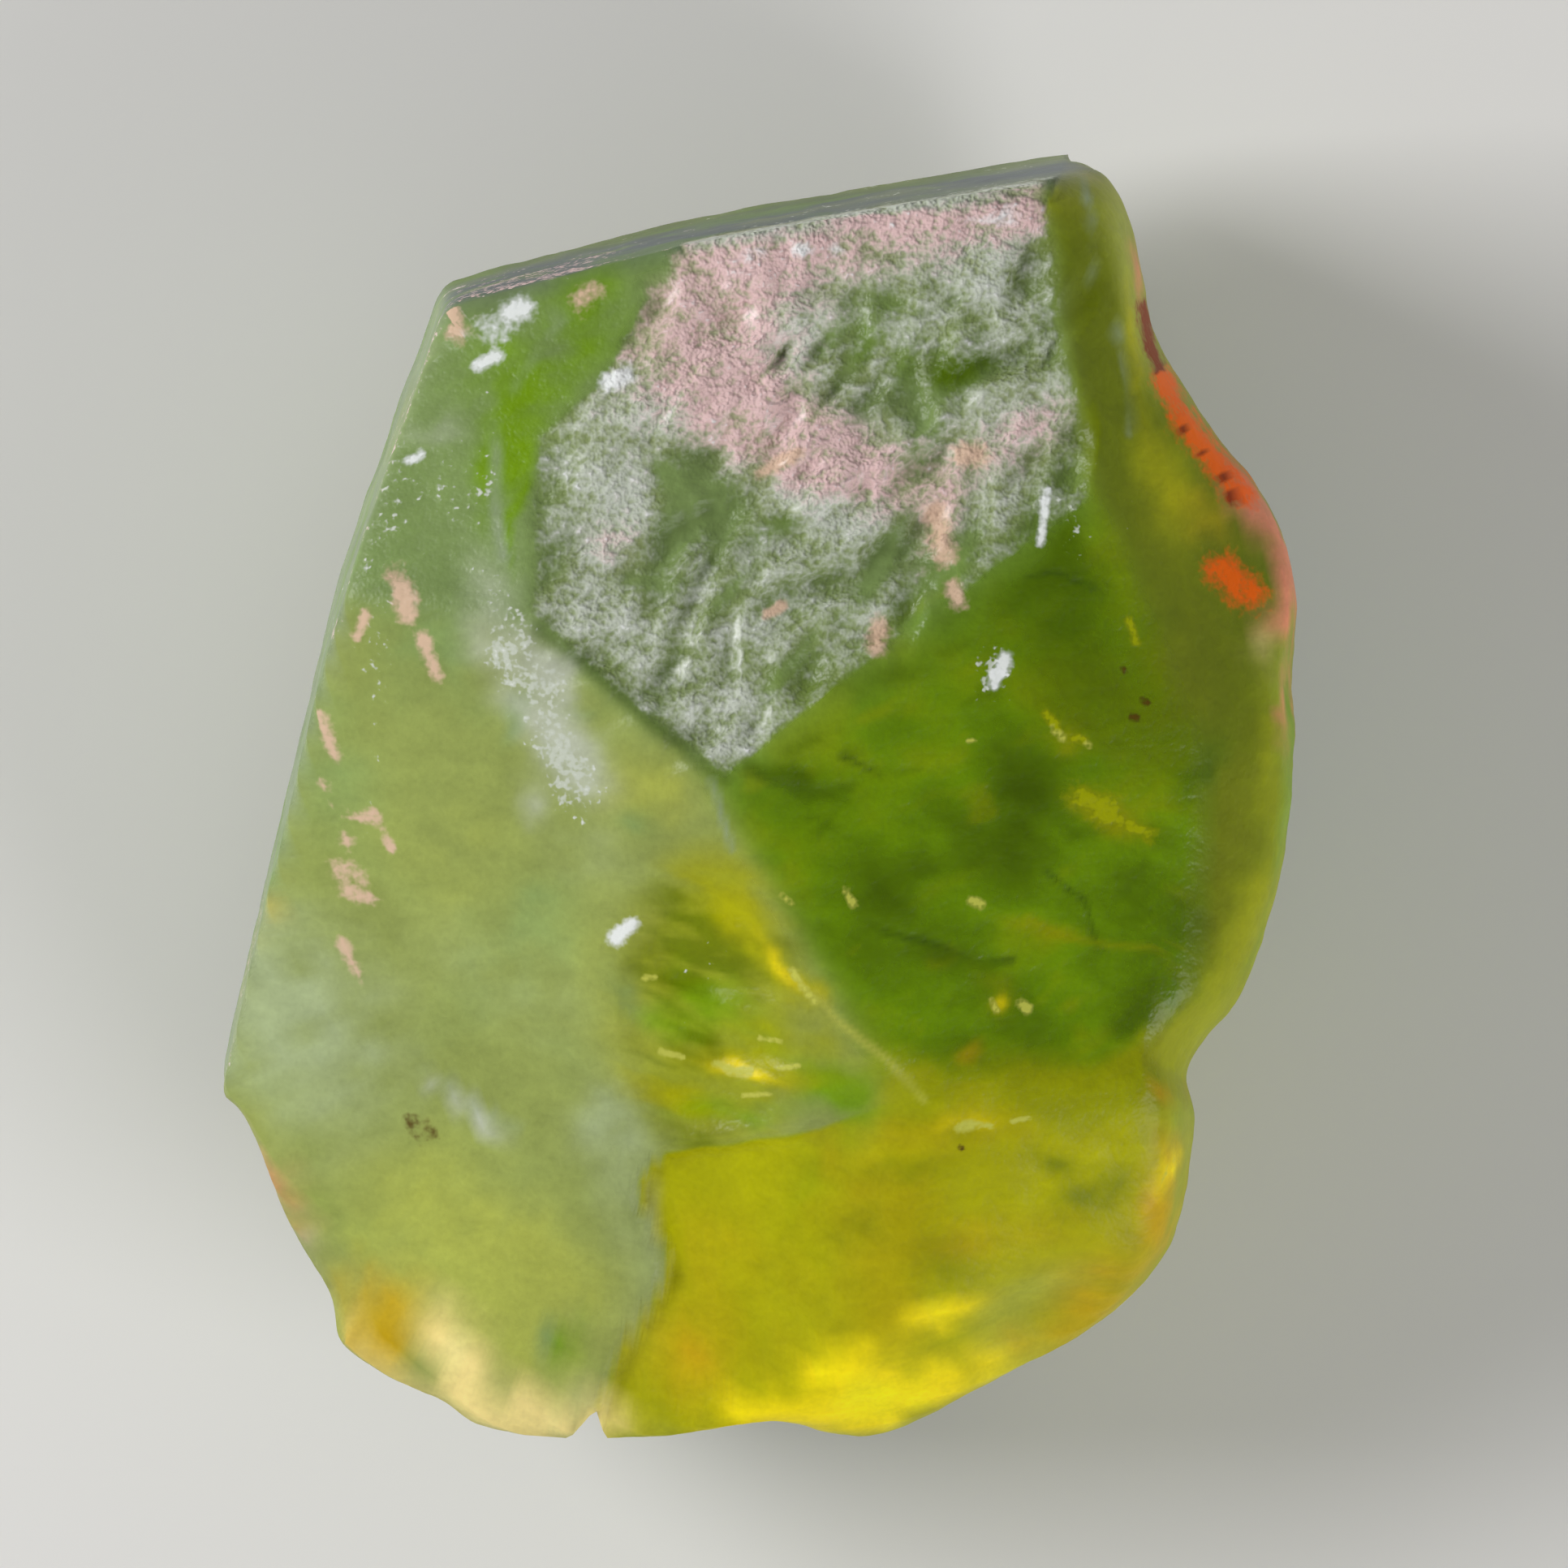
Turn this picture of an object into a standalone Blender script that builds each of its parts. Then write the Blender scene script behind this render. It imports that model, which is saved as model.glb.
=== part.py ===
"""A rough peridot crystal, broken free at its lower end, lying on its flat back face.

The stone is one solid. +X is its right side and +Y its terminated upper end when it is looked
at from above, and +Z points away from the surface it rests on. The origin is the middle of
the bottom of its box. All sizes below are in millimetres and are turned into metres at the end.
"""
import math
import random

import bmesh
import bpy
from mathutils import Matrix, Vector

MM = 0.001

# Driving dimensions of the whole stone
LENGTH = 24.0
WIDTH = 20.0
FRONT_APEX = Vector((-0.87, 0.32, 12.4))
EQUATOR_HEIGHT = 6.0
PILLOW_HALF_DEPTH = 7.6
PILLOW_EXPONENT = 3.0
AROUND = 132
ALONG = 46

# The rounded body's outline in the XY plane, anticlockwise from the upper right corner.
# The upper and left sides lie outside the stone here, because flat crystal faces cut them off.
OUTLINE = (
    (4.9, 13.0), (-6.9, 10.6), (-7.9, 7.9), (-9.6, 3.6), (-10.6, -1.0), (-10.9, -4.6),
    (-10.1, -5.5), (-9.55, -6.0), (-8.8, -7.8), (-8.0, -9.2), (-7.8, -10.1), (-7.1, -10.7),
    (-5.9, -11.25), (-5.1, -11.75), (-3.5, -11.95), (-1.8, -11.9), (0.25, -11.65),
    (1.5, -11.85), (2.4, -11.8), (4.1, -11.0), (6.1, -9.9), (7.3, -8.8), (7.8, -7.8),
    (8.1, -6.1), (7.95, -5.2), (8.3, -4.5), (8.75, -4.0), (9.1, -3.4), (9.6, -1.9), (9.9, -0.3),
    (9.95, 1.2), (9.9, 2.3), (10.0, 3.6), (9.75, 4.8), (9.2, 5.8), (8.5, 6.7), (7.75, 7.8),
    (7.3, 8.7), (7.1, 9.7), (6.85, 10.7), (6.5, 11.4), (5.9, 12.0),
)

# Flat faces of the front, as the rise of the surface toward +X and toward +Y from a point on it
LEFT_SLOPE = (0.344, 0.349)
ETCHED_SLOPE = (-0.03, -0.12)
RIGHT_SLOPE = (-0.165, 0.055)
UPPER_LEFT_SLOPE = (0.232, -0.267)
UPPER_LEFT_POINT = Vector((-4.25, 3.17, 12.16))
UPPER_RIGHT_SLOPE = (-0.82, -0.24)
UPPER_RIGHT_POINT = Vector((5.19, 11.7, 10.83))
LOWER_SLOPE = (-0.13, 0.45)
LOWER_POINT = Vector((2.88, -5.54, 11.4))
LOWER_RIM_SLOPE = (-0.3, 1.05)
LOWER_RIM_POINT = Vector((3.2, -9.9, 9.35))
RIGHT_RIM_SLOPE = (-1.1, 0.1)
RIGHT_RIM_POINT = Vector((8.3, -0.3, 10.85))

# Steep side faces: heading of the outward normal in degrees from +X, how far it tips up,
# and a point low on the face
SIDE_FACES = (
    ("left of terminating face", 105.0, 5.0, Vector((-5.9, 9.66, 3.0))),
    ("right of terminating face", 98.8, 5.0, Vector((2.0, 11.46, 3.0))),
    ("upper left side face", 160.0, 3.0, Vector((-6.0, 9.53, 3.0))),
    ("lower left side face", 167.2, 2.5, Vector((-7.95, 4.34, 3.0))),
    ("upper back edge face", 102.0, -48.0, Vector((0.0, 10.3, 1.9))),
    ("left back edge face", 165.0, -42.0, Vector((-8.3, 0.0, 1.7))),
    ("right back edge face", 12.0, -50.0, Vector((8.3, 0.0, 1.5))),
    ("lower back fracture", 262.0, -56.0, Vector((0.0, -10.2, 2.0))),
    ("lower left back chip", 225.0, -38.0, Vector((-7.2, -7.6, 1.8))),
)

# The ledge where the pale slab of the left face broke off, from its top down to the lower edge
LEDGE = (
    (3.3, -5.2), (1.1, -6.1), (-1.7, -6.5), (-2.25, -7.1), (-1.9, -8.05), (-1.6, -8.65),
    (-2.5, -10.1), (-3.05, -11.3), (-3.1, -13.5), (9.0, -13.5), (9.0, -5.2),
)
LEDGE_DROP = 0.55

# The notch in the lower rim at the foot of the ledge
NOTCH_POINT = Vector((-3.02, -12.1, 6.0))
NOTCH_SIZE = (0.34, 0.8, 4.6)

# Shell-like scoops: a name, the centre, the radii and the turn about Z of each ellipsoid
SCOOPS = (
    ("lower_rim_scoop", Vector((5.4, -11.0, 11.3)), (3.6, 2.5, 3.4), 30.0),
    ("left_lip_scoop", Vector((-8.7, -9.3, 9.1)), (2.2, 3.2, 3.0), 35.0),
    ("back_scoop", Vector((3.6, -8.2, -1.5)), (3.4, 2.6, 2.9), 20.0),
    ("left_back_scoop", Vector((-9.6, 2.4, -0.4)), (2.4, 2.9, 2.6), 10.0),
)

# Etch gouges: grooves left by solution, which lie side by side across the etched front face
GOUGE_SEED = 11
GOUGE_COUNT = 96
GOUGE_HEADING = 52.0
GOUGE_SPREAD = 38.0
GOUGE_REGION = ((-4.2, 5.8), (0.6, 10.6))
GOUGE_MARGIN = 0.06
GOUGE_LENGTH = (0.7, 1.5)
GOUGE_WIDTH = (0.32, 0.55)
GOUGE_DEPTH = (0.1, 0.24)

# The hollow beside the main ridge, with ripples that run round the point where it was struck
SHELL_CENTRE = (-0.9, -3.9)
SHELL_RADII = (1.7, 2.7)
SHELL_DEPTH = 0.42
SHELL_RIPPLE = 1.3
SHELL_STRIKE = (0.3, 0.6)

# Spacing of the points that carry the relief of the front faces
FRONT_GRID = 0.52
FRONT_UPRIGHTNESS = 0.8

PERIDOT_GREEN = (0.26, 0.42, 0.02, 1.0)


def clear_scene():
    """Removes every object so that the stone is alone."""
    for item in list(bpy.data.objects):
        bpy.data.objects.remove(item, do_unlink=True)


def peridot_material():
    """Clear yellow-green crystal."""
    material = bpy.data.materials.new("peridot")
    material.use_nodes = True
    shader = material.node_tree.nodes["Principled BSDF"]
    shader.inputs["Base Color"].default_value = PERIDOT_GREEN
    shader.inputs["Roughness"].default_value = 0.15
    shader.inputs["Metallic"].default_value = 0.0
    shader.inputs["Transmission Weight"].default_value = 1.0
    shader.inputs["IOR"].default_value = 1.67
    return material


def smooth_loop(points, steps):
    """A closed curve through all the points, by the Catmull-Rom rule."""
    curve = []
    count = len(points)
    for index in range(count):
        before, start, end, after = (Vector(points[(index + shift) % count]) for shift in (-1, 0, 1, 2))
        for step in range(steps):
            t = step / steps
            curve.append(0.5 * (2.0 * start + (end - before) * t
                                + (2.0 * before - 5.0 * start + 4.0 * end - after) * t ** 2
                                + (3.0 * start - before - 3.0 * end + after) * t ** 3))
    return curve


def radius_at(curve, heading):
    """How far the closed curve lies from the origin in a heading: where the ray crosses it."""
    ray = Vector((math.cos(heading), math.sin(heading)))
    reach = 0.0
    for index, start in enumerate(curve):
        edge = curve[(index + 1) % len(curve)] - start
        across = ray.x * edge.y - ray.y * edge.x
        if abs(across) < 1e-12:
            continue
        along_ray = (start.x * edge.y - start.y * edge.x) / across
        along_edge = (start.x * ray.y - start.y * ray.x) / across
        if along_ray > 0.0 and 0.0 <= along_edge <= 1.0:
            reach = max(reach, along_ray)
    return reach


def rounded_body(mesh):
    """A sphere drawn out to the outline: in each heading its section is a rounded rectangle."""
    bmesh.ops.create_uvsphere(mesh, u_segments=AROUND, v_segments=ALONG, radius=1.0)
    curve = smooth_loop(OUTLINE, 8)
    reach = [radius_at(curve, 2.0 * math.pi * step / AROUND) for step in range(AROUND)]
    for point in mesh.verts:
        direction = point.co.normalized()
        heading = math.atan2(direction.y, direction.x) % (2.0 * math.pi)
        radius = reach[round(heading * AROUND / (2.0 * math.pi)) % AROUND]
        flat = math.hypot(direction.x, direction.y) / radius
        upright = abs(direction.z) / PILLOW_HALF_DEPTH
        scale = (flat ** PILLOW_EXPONENT + upright ** PILLOW_EXPONENT) ** (-1.0 / PILLOW_EXPONENT)
        point.co = direction * scale + Vector((0.0, 0.0, EQUATOR_HEIGHT))


def cut_flat(mesh, point, outward):
    """Cuts off what lies beyond a plane and closes the cut with one flat face."""
    geometry = list(mesh.verts) + list(mesh.edges) + list(mesh.faces)
    cut = bmesh.ops.bisect_plane(mesh, geom=geometry, dist=1e-5, plane_co=point, plane_no=outward,
                                 clear_outer=True)
    rim = [item for item in cut["geom_cut"] if isinstance(item, bmesh.types.BMEdge)]
    bmesh.ops.contextual_create(mesh, geom=rim)


def sloped(slope):
    """The upward normal of a surface with that rise toward +X and +Y."""
    return Vector((-slope[0], -slope[1], 1.0)).normalized()


def headed(heading, tip):
    """A direction from its heading in the XY plane and its tip above that plane, in degrees."""
    flat = math.cos(math.radians(tip))
    turn = math.radians(heading)
    return Vector((flat * math.cos(turn), flat * math.sin(turn), math.sin(math.radians(tip))))


def crystal_faces(mesh):
    """The flat faces: the front, the steep sides, the edges of the back and the resting face."""
    front = (
        (FRONT_APEX, LEFT_SLOPE),
        (FRONT_APEX, ETCHED_SLOPE),
        (FRONT_APEX, RIGHT_SLOPE),
        (UPPER_LEFT_POINT, UPPER_LEFT_SLOPE),
        (UPPER_RIGHT_POINT, UPPER_RIGHT_SLOPE),
        (LOWER_POINT, LOWER_SLOPE),
        (LOWER_RIM_POINT, LOWER_RIM_SLOPE),
        (RIGHT_RIM_POINT, RIGHT_RIM_SLOPE),
    )
    for point, slope in front:
        cut_flat(mesh, point, sloped(slope))
    for _, heading, tip, point in SIDE_FACES:
        cut_flat(mesh, point, headed(heading, tip))
    cut_flat(mesh, Vector((0.0, 0.0, 0.0)), Vector((0.0, 0.0, -1.0)))


def new_object(name, mesh, collection):
    """Turns a bmesh into an object of a collection."""
    bmesh.ops.recalc_face_normals(mesh, faces=mesh.faces)
    data = bpy.data.meshes.new(name)
    mesh.to_mesh(data)
    mesh.free()
    item = bpy.data.objects.new(name, data)
    collection.objects.link(item)
    return item


def new_cutter(name, mesh, collection):
    """A tool body, which is never part of the stone."""
    cutter = new_object(name, mesh, collection)
    cutter.hide_render = True
    cutter.display_type = "WIRE"
    return cutter


def height(x, y, point, slope):
    """The height of a sloped face over a place."""
    return point.z + slope[0] * (x - point.x) + slope[1] * (y - point.y)


def on_etched_face(x, y):
    """Whether the etched face is the lowest of the front faces at a place, and so is the surface."""
    neighbours = (
        height(x, y, FRONT_APEX, LEFT_SLOPE),
        height(x, y, FRONT_APEX, RIGHT_SLOPE),
        height(x, y, UPPER_LEFT_POINT, UPPER_LEFT_SLOPE),
        height(x, y, UPPER_RIGHT_POINT, UPPER_RIGHT_SLOPE),
    )
    return height(x, y, FRONT_APEX, ETCHED_SLOPE) + GOUGE_MARGIN < min(neighbours)


def gouges():
    """The place, heading, length, width and depth of each etch gouge."""
    draw = random.Random(GOUGE_SEED)
    (left, right), (low, high) = GOUGE_REGION
    golden = (math.sqrt(5.0) - 1.0) / 2.0
    for index in range(GOUGE_COUNT):
        x = left + (right - left) * ((index * golden) % 1.0)
        y = low + (high - low) * (index + 0.5) / GOUGE_COUNT
        turn = math.radians(GOUGE_HEADING + draw.uniform(-GOUGE_SPREAD, GOUGE_SPREAD))
        sizes = [draw.uniform(*span) for span in (GOUGE_LENGTH, GOUGE_WIDTH, GOUGE_DEPTH)]
        if on_etched_face(x, y):
            yield (x, y, turn, *sizes)


def relief(x, y, grooves):
    """How far the front surface is sunk at a place.

    A gouge is a hollow with an elliptic plan and a round floor, and the deepest one counts. The
    shell hollow is the same, with cosine ripples on its floor.
    """
    depth = 0.0
    for centre_x, centre_y, turn, length, width, deepest in grooves:
        along = (x - centre_x) * math.cos(turn) + (y - centre_y) * math.sin(turn)
        across = (y - centre_y) * math.cos(turn) - (x - centre_x) * math.sin(turn)
        depth = max(depth, deepest * (1.0 - (along / length) ** 2 - (across / width) ** 2))
    away_x, away_y = x - SHELL_CENTRE[0], y - SHELL_CENTRE[1]
    inside = 1.0 - (away_x / SHELL_RADII[0]) ** 2 - (away_y / SHELL_RADII[1]) ** 2
    if inside > 0.0:
        from_strike = math.hypot(x - SHELL_STRIKE[0], y - SHELL_STRIKE[1])
        ripple = math.cos(2.0 * math.pi * from_strike / SHELL_RIPPLE)
        depth += SHELL_DEPTH * inside * (0.8 + 0.2 * ripple)
    return depth


def roughen_front(mesh):
    """Divides the front faces into a square grid and sinks its points by the relief."""
    for axis, reach in ((Vector((1.0, 0.0, 0.0)), WIDTH), (Vector((0.0, 1.0, 0.0)), LENGTH)):
        for step in range(round(reach / FRONT_GRID)):
            front = [face for face in mesh.faces if face.normal.z > FRONT_UPRIGHTNESS]
            edges = {edge for face in front for edge in face.edges}
            points = {point for face in front for point in face.verts}
            place = axis * ((step + 0.5) * FRONT_GRID - reach / 2.0)
            bmesh.ops.bisect_plane(mesh, geom=[*front, *edges, *points], dist=0.02,
                                   plane_co=place, plane_no=axis)
    grooves = list(gouges())
    for point in mesh.verts:
        if all(face.normal.z > FRONT_UPRIGHTNESS for face in point.link_faces):
            point.co.z -= relief(point.co.x, point.co.y, grooves)


def ellipsoid_cutter(name, centre, radii, turn, collection):
    """An ellipsoid turned about Z."""
    mesh = bmesh.new()
    placing = (Matrix.Translation(centre) @ Matrix.Rotation(math.radians(turn), 4, "Z")
               @ Matrix.Diagonal((*radii, 1.0)))
    bmesh.ops.create_icosphere(mesh, subdivisions=4, radius=1.0, matrix=placing)
    return new_cutter(name, mesh, collection)


def ledge_cutter(collection):
    """A prism over the broken-off part of the left face, with its floor parallel to that face."""
    mesh = bmesh.new()
    floor = []
    for x, y in LEDGE:
        floor.append(mesh.verts.new((x, y, height(x, y, FRONT_APEX, LEFT_SLOPE) - LEDGE_DROP)))
    base = mesh.faces.new(floor)
    raised = bmesh.ops.extrude_face_region(mesh, geom=[base])
    top = [item for item in raised["geom"] if isinstance(item, bmesh.types.BMVert)]
    bmesh.ops.translate(mesh, verts=top, vec=(0.0, 0.0, 8.0))
    return new_cutter("ledge_cutter", mesh, collection)


def notch_cutter(collection):
    """An upright four-sided prism with a lozenge section, whose corner bites into the rim."""
    mesh = bmesh.new()
    placing = Matrix.Translation(NOTCH_POINT) @ Matrix.Diagonal((*NOTCH_SIZE, 1.0))
    bmesh.ops.create_cone(mesh, cap_ends=True, segments=4, radius1=1.0, radius2=1.0, depth=2.0,
                          matrix=placing)
    return new_cutter("notch_cutter", mesh, collection)


def subtract(stone, cutter):
    """Takes the cutter's volume out of the stone."""
    cut = stone.modifiers.new(cutter.name, "BOOLEAN")
    cut.operation = "DIFFERENCE"
    cut.solver = "EXACT"
    cut.object = cutter


def settle(stone):
    """Applies the cuts, merges slivers, centres the stone over the origin and scales it to metres."""
    graph = bpy.context.evaluated_depsgraph_get()
    data = bpy.data.meshes.new_from_object(stone.evaluated_get(graph))
    stone.modifiers.clear()
    mesh = bmesh.new()
    mesh.from_mesh(data)
    bmesh.ops.remove_doubles(mesh, verts=mesh.verts, dist=0.002)
    bmesh.ops.dissolve_degenerate(mesh, edges=mesh.edges, dist=0.002)
    bmesh.ops.triangulate(mesh, faces=mesh.faces)
    xs = [point.co.x for point in mesh.verts]
    ys = [point.co.y for point in mesh.verts]
    middle = Vector(((min(xs) + max(xs)) / 2.0, (min(ys) + max(ys)) / 2.0, 0.0))
    bmesh.ops.translate(mesh, verts=mesh.verts, vec=-middle)
    bmesh.ops.scale(mesh, verts=mesh.verts, vec=(MM, MM, MM))
    mesh.to_mesh(data)
    mesh.free()
    stone.data = data


def build():
    clear_scene()
    stone_collection = bpy.data.collections.new("peridot_crystal")
    cutter_collection = bpy.data.collections.new("cutters")
    bpy.context.scene.collection.children.link(stone_collection)
    bpy.context.scene.collection.children.link(cutter_collection)

    mesh = bmesh.new()
    rounded_body(mesh)
    crystal_faces(mesh)
    mesh.normal_update()
    roughen_front(mesh)
    stone = new_object("crystal", mesh, stone_collection)

    cutters = [ledge_cutter(cutter_collection), notch_cutter(cutter_collection)]
    for name, centre, radii, turn in SCOOPS:
        cutters.append(ellipsoid_cutter(name, centre, radii, turn, cutter_collection))
    for cutter in cutters:
        subtract(stone, cutter)
    settle(stone)
    for face in stone.data.polygons:
        face.use_smooth = False
    stone.data.materials.clear()
    stone.data.materials.append(peridot_material())


build()
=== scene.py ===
"""A rough peridot crystal lying on its flat back face, seen from straight above.

The stone's form repeats the driving dimensions of its solid and adds the fine surface: lumps and
grooves of the etched face, ripples of the shell hollow and slow waves of the other faces. Lengths
of the form are in millimetres, in the solid's modelling frame, and become metres when the mesh is
made.
"""
import math
import random

import bpy
import numpy as np
from bpy.props import FloatProperty, FloatVectorProperty, PointerProperty
from bpy.types import Operator, Panel, PropertyGroup
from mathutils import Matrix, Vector


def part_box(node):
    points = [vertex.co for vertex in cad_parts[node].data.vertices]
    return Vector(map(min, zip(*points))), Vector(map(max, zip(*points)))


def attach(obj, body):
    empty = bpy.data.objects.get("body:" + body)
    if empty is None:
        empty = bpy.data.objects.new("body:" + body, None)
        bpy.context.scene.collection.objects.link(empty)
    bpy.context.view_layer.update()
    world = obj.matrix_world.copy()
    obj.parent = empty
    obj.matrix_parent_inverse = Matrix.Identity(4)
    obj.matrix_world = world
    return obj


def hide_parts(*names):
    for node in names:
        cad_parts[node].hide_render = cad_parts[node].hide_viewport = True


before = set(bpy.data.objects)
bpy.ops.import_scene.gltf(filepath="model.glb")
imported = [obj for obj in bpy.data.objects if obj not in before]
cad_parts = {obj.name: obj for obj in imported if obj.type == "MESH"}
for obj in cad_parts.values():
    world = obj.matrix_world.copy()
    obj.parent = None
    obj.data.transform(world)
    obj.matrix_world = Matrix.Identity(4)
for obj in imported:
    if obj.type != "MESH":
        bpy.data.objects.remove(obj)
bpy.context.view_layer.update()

bl_info = {
    "name": "Peridot Crystal",
    "version": (1, 0, 0),
    "blender": (4, 5, 0),
    "location": "View3D > Sidebar > Peridot",
    "description": "Builds a rough peridot crystal and a plain studio around it",
    "category": "Add Mesh",
}

MM = 0.001
NODE = "crystal"
PIECE = "peridot_stone"

# The stone's form, in millimetres: the same driving dimensions as its solid
FRONT_APEX = np.array((-0.87, 0.32, 12.4))
EQUATOR_HEIGHT = 6.0
PILLOW_HALF_DEPTH = 7.6
PILLOW_EXPONENT = 3.0
OUTLINE = (
    (4.9, 13.0), (-6.9, 10.6), (-7.9, 7.9), (-9.6, 3.6), (-10.6, -1.0), (-10.9, -4.6),
    (-10.1, -5.5), (-9.55, -6.0), (-8.8, -7.8), (-8.0, -9.2), (-7.8, -10.1), (-7.1, -10.7),
    (-5.9, -11.25), (-5.1, -11.75), (-3.5, -11.95), (-1.8, -11.9), (0.25, -11.65),
    (1.5, -11.85), (2.4, -11.8), (4.1, -11.0), (6.1, -9.9), (7.3, -8.8), (7.8, -7.8),
    (8.1, -6.1), (7.95, -5.2), (8.3, -4.5), (8.75, -4.0), (9.1, -3.4), (9.6, -1.9), (9.9, -0.3),
    (9.95, 1.2), (9.9, 2.3), (10.0, 3.6), (9.75, 4.8), (9.2, 5.8), (8.5, 6.7), (7.75, 7.8),
    (7.3, 8.7), (7.1, 9.7), (6.85, 10.7), (6.5, 11.4), (5.9, 12.0),
)
OUTLINE_STEPS = 24

# Front faces: a point on each and its rise toward +X and +Y
LEFT_FACE = (FRONT_APEX, (0.344, 0.349))
ETCHED_FACE = (FRONT_APEX, (-0.03, -0.12))
RIGHT_FACE = (FRONT_APEX, (-0.165, 0.055))
UPPER_LEFT_FACE = (np.array((-4.25, 3.17, 12.16)), (0.232, -0.267))
UPPER_RIGHT_FACE = (np.array((5.19, 11.7, 10.83)), (-0.82, -0.24))
LOWER_FACE = (np.array((2.88, -5.54, 11.4)), (-0.13, 0.45))
LOWER_RIM_FACE = (np.array((3.2, -9.9, 9.35)), (-0.3, 1.05))
RIGHT_RIM_FACE = (np.array((8.3, -0.3, 10.85)), (-1.1, 0.1))
FRONT_FACES = (LEFT_FACE, ETCHED_FACE, RIGHT_FACE, UPPER_LEFT_FACE, UPPER_RIGHT_FACE, LOWER_FACE,
               LOWER_RIM_FACE, RIGHT_RIM_FACE)
# How far slow waves sink each of them, at about this reach from the stone's centre
FRONT_WAVES = (0.04, 0.04, 0.05, 0.04, 0.08, 0.16, 0.16, 0.12)
WAVE_REACH = 10.0

# Steep faces and back faces: heading of the outward normal, its tip upward, and a point
SIDE_FACES = (
    (105.0, 5.0, (-5.9, 9.66, 3.0)), (98.8, 5.0, (2.0, 11.46, 3.0)),
    (160.0, 3.0, (-6.0, 9.53, 3.0)), (167.2, 2.5, (-7.95, 4.34, 3.0)),
    (102.0, -48.0, (0.0, 10.3, 1.9)), (165.0, -42.0, (-8.3, 0.0, 1.7)),
    (12.0, -50.0, (8.3, 0.0, 1.5)), (262.0, -56.0, (0.0, -10.2, 2.0)),
    (225.0, -38.0, (-7.2, -7.6, 1.8)), (0.0, -90.0, (0.0, 0.0, 0.0)),
)

# Scoops: centre, radii and turn about Z
SCOOPS = (
    ((5.4, -11.0, 11.3), (3.6, 2.5, 3.4), 30.0), ((-8.7, -9.3, 9.1), (2.2, 3.2, 3.0), 35.0),
    ((3.6, -8.2, -1.5), (3.4, 2.6, 2.9), 20.0), ((-9.6, 2.4, -0.4), (2.4, 2.9, 2.6), 10.0),
)

# The ledge: corners of its broken side, which drops below the left face
LEDGE = (
    (3.3, -5.2), (1.1, -6.1), (-1.7, -6.5), (-2.25, -7.1), (-1.9, -8.05), (-1.6, -8.65),
    (-2.5, -10.1), (-3.05, -11.3), (-3.1, -13.5), (9.0, -13.5), (9.0, -5.2),
)
LEDGE_DROP = 0.55
LEDGE_SOFTNESS = 0.25
LEDGE_SLOPE = (0.22, 0.92)
NOTCH_PLACE = (-3.02, -11.3)
NOTCH_HALF_WIDTH = 0.30
NOTCH_DEPTH = 0.55

# Etch gouges and the shell-shaped hollow
GOUGE_SEED = 11
GOUGE_COUNT = 96
GOUGE_HEADING = 52.0
GOUGE_SPREAD = 38.0
GOUGE_REGION = ((-4.2, 5.8), (0.6, 10.6))
GOUGE_MARGIN = 0.06
GOUGE_LENGTH = (0.7, 1.5)
GOUGE_WIDTH = (0.32, 0.55)
GOUGE_DEPTH = (0.1, 0.24)
SHELL_CENTRE = (-0.9, -3.9)
SHELL_RADII = (1.7, 2.7)
SHELL_DEPTH = 0.42
SHELL_RIPPLE = 1.3
SHELL_STRIKE = (0.3, 0.6)
SHELL_GRAIN_HEADING = -14.0

# Depths of the fine surface: on the etched face, on the other front faces and on the sides
ETCH_HALF_DEPTH = 0.2
GROOVE_DEPTH = 0.04
WAVE_DEPTH = 0.07
FINE_WAVE_DEPTH = 0.03
SIDE_WAVE_DEPTH = 0.14
SIDE_FINE_WAVE_DEPTH = 0.05
SIDE_GROOVE_DEPTH = 0.06

# How the mesh divides the stone: cells along X, Y and Z of the box that it is drawn out from,
# that box's sides, and how far its cells are bent so that they come out even
CELLS = (172, 208, 30)
BOX_SIDES = (0.82, 1.0, 0.56)
CELL_BEND = 0.12 * math.pi
EDGE_SHARPNESS = 90.0

# Numbers that the noise mixes the lattice places with
HASH_AXES = (73856093, 19349663, 83492791)
HASH_SEED = 2654435761
HASH_ROUNDS = ((13, 1274126177), (15, 2246822519))

# Edge of the frosted crust on the etched face
FROST_EDGE = (
    (-1.5, 9.85), (-2.5, 8.3), (-2.9, 7.4), (-4.05, 6.55), (-4.15, 5.4), (-4.1, 3.3), (-2.7, 2.0),
    (-0.6, 0.35), (2.3, 2.7), (6.05, 5.4), (6.05, 6.6), (5.4, 8.7), (5.2, 11.9), (-1.3, 10.6),
)

# The palette's colour on each surface in turn: the rounded body, the eight front faces in their
# order above, the ten steep and back faces and the four scoops
# The top faces' blue grey and the left side's pale green are partly painted sheen
ZONE_COLOURS = (
    "lime", "haze", "fern", "leaf", "fern", "bronze", "gold", "gold", "olive",
    "slate_and_sheen", "slate_and_sheen", "pearl_sheen", "pearl_sheen", "sage", "sage", "sage", "sage", "sage", "sage",
    "gold", "haze", "sage", "sage",
)
# How much of the clear crystal each surface hides, in the same order
ZONE_COVER = (
    0.84, 0.9, 0.8, 0.66, 0.78, 0.82, 0.88, 0.93, 0.88,
    0.7, 0.7, 0.72, 0.72, 0.6, 0.6, 0.6, 0.6, 0.6, 0.6,
    0.92, 0.9, 0.6, 0.6,
)
# Rows of the surfaces' shares, in that order
BODY, LEFT, ETCHED, RIGHT, UPPER_LEFT = range(5)
FRONT, TOP, STEEP, LIP_SCOOP = slice(1, 9), slice(9, 11), slice(9, 13), 20

# What the crust, the ledge's wall and the shell hollow hide of the clear crystal
CRUST_COVER = 0.95
WALL_COVER = 0.97
SHELL_COVER = 0.9
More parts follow.
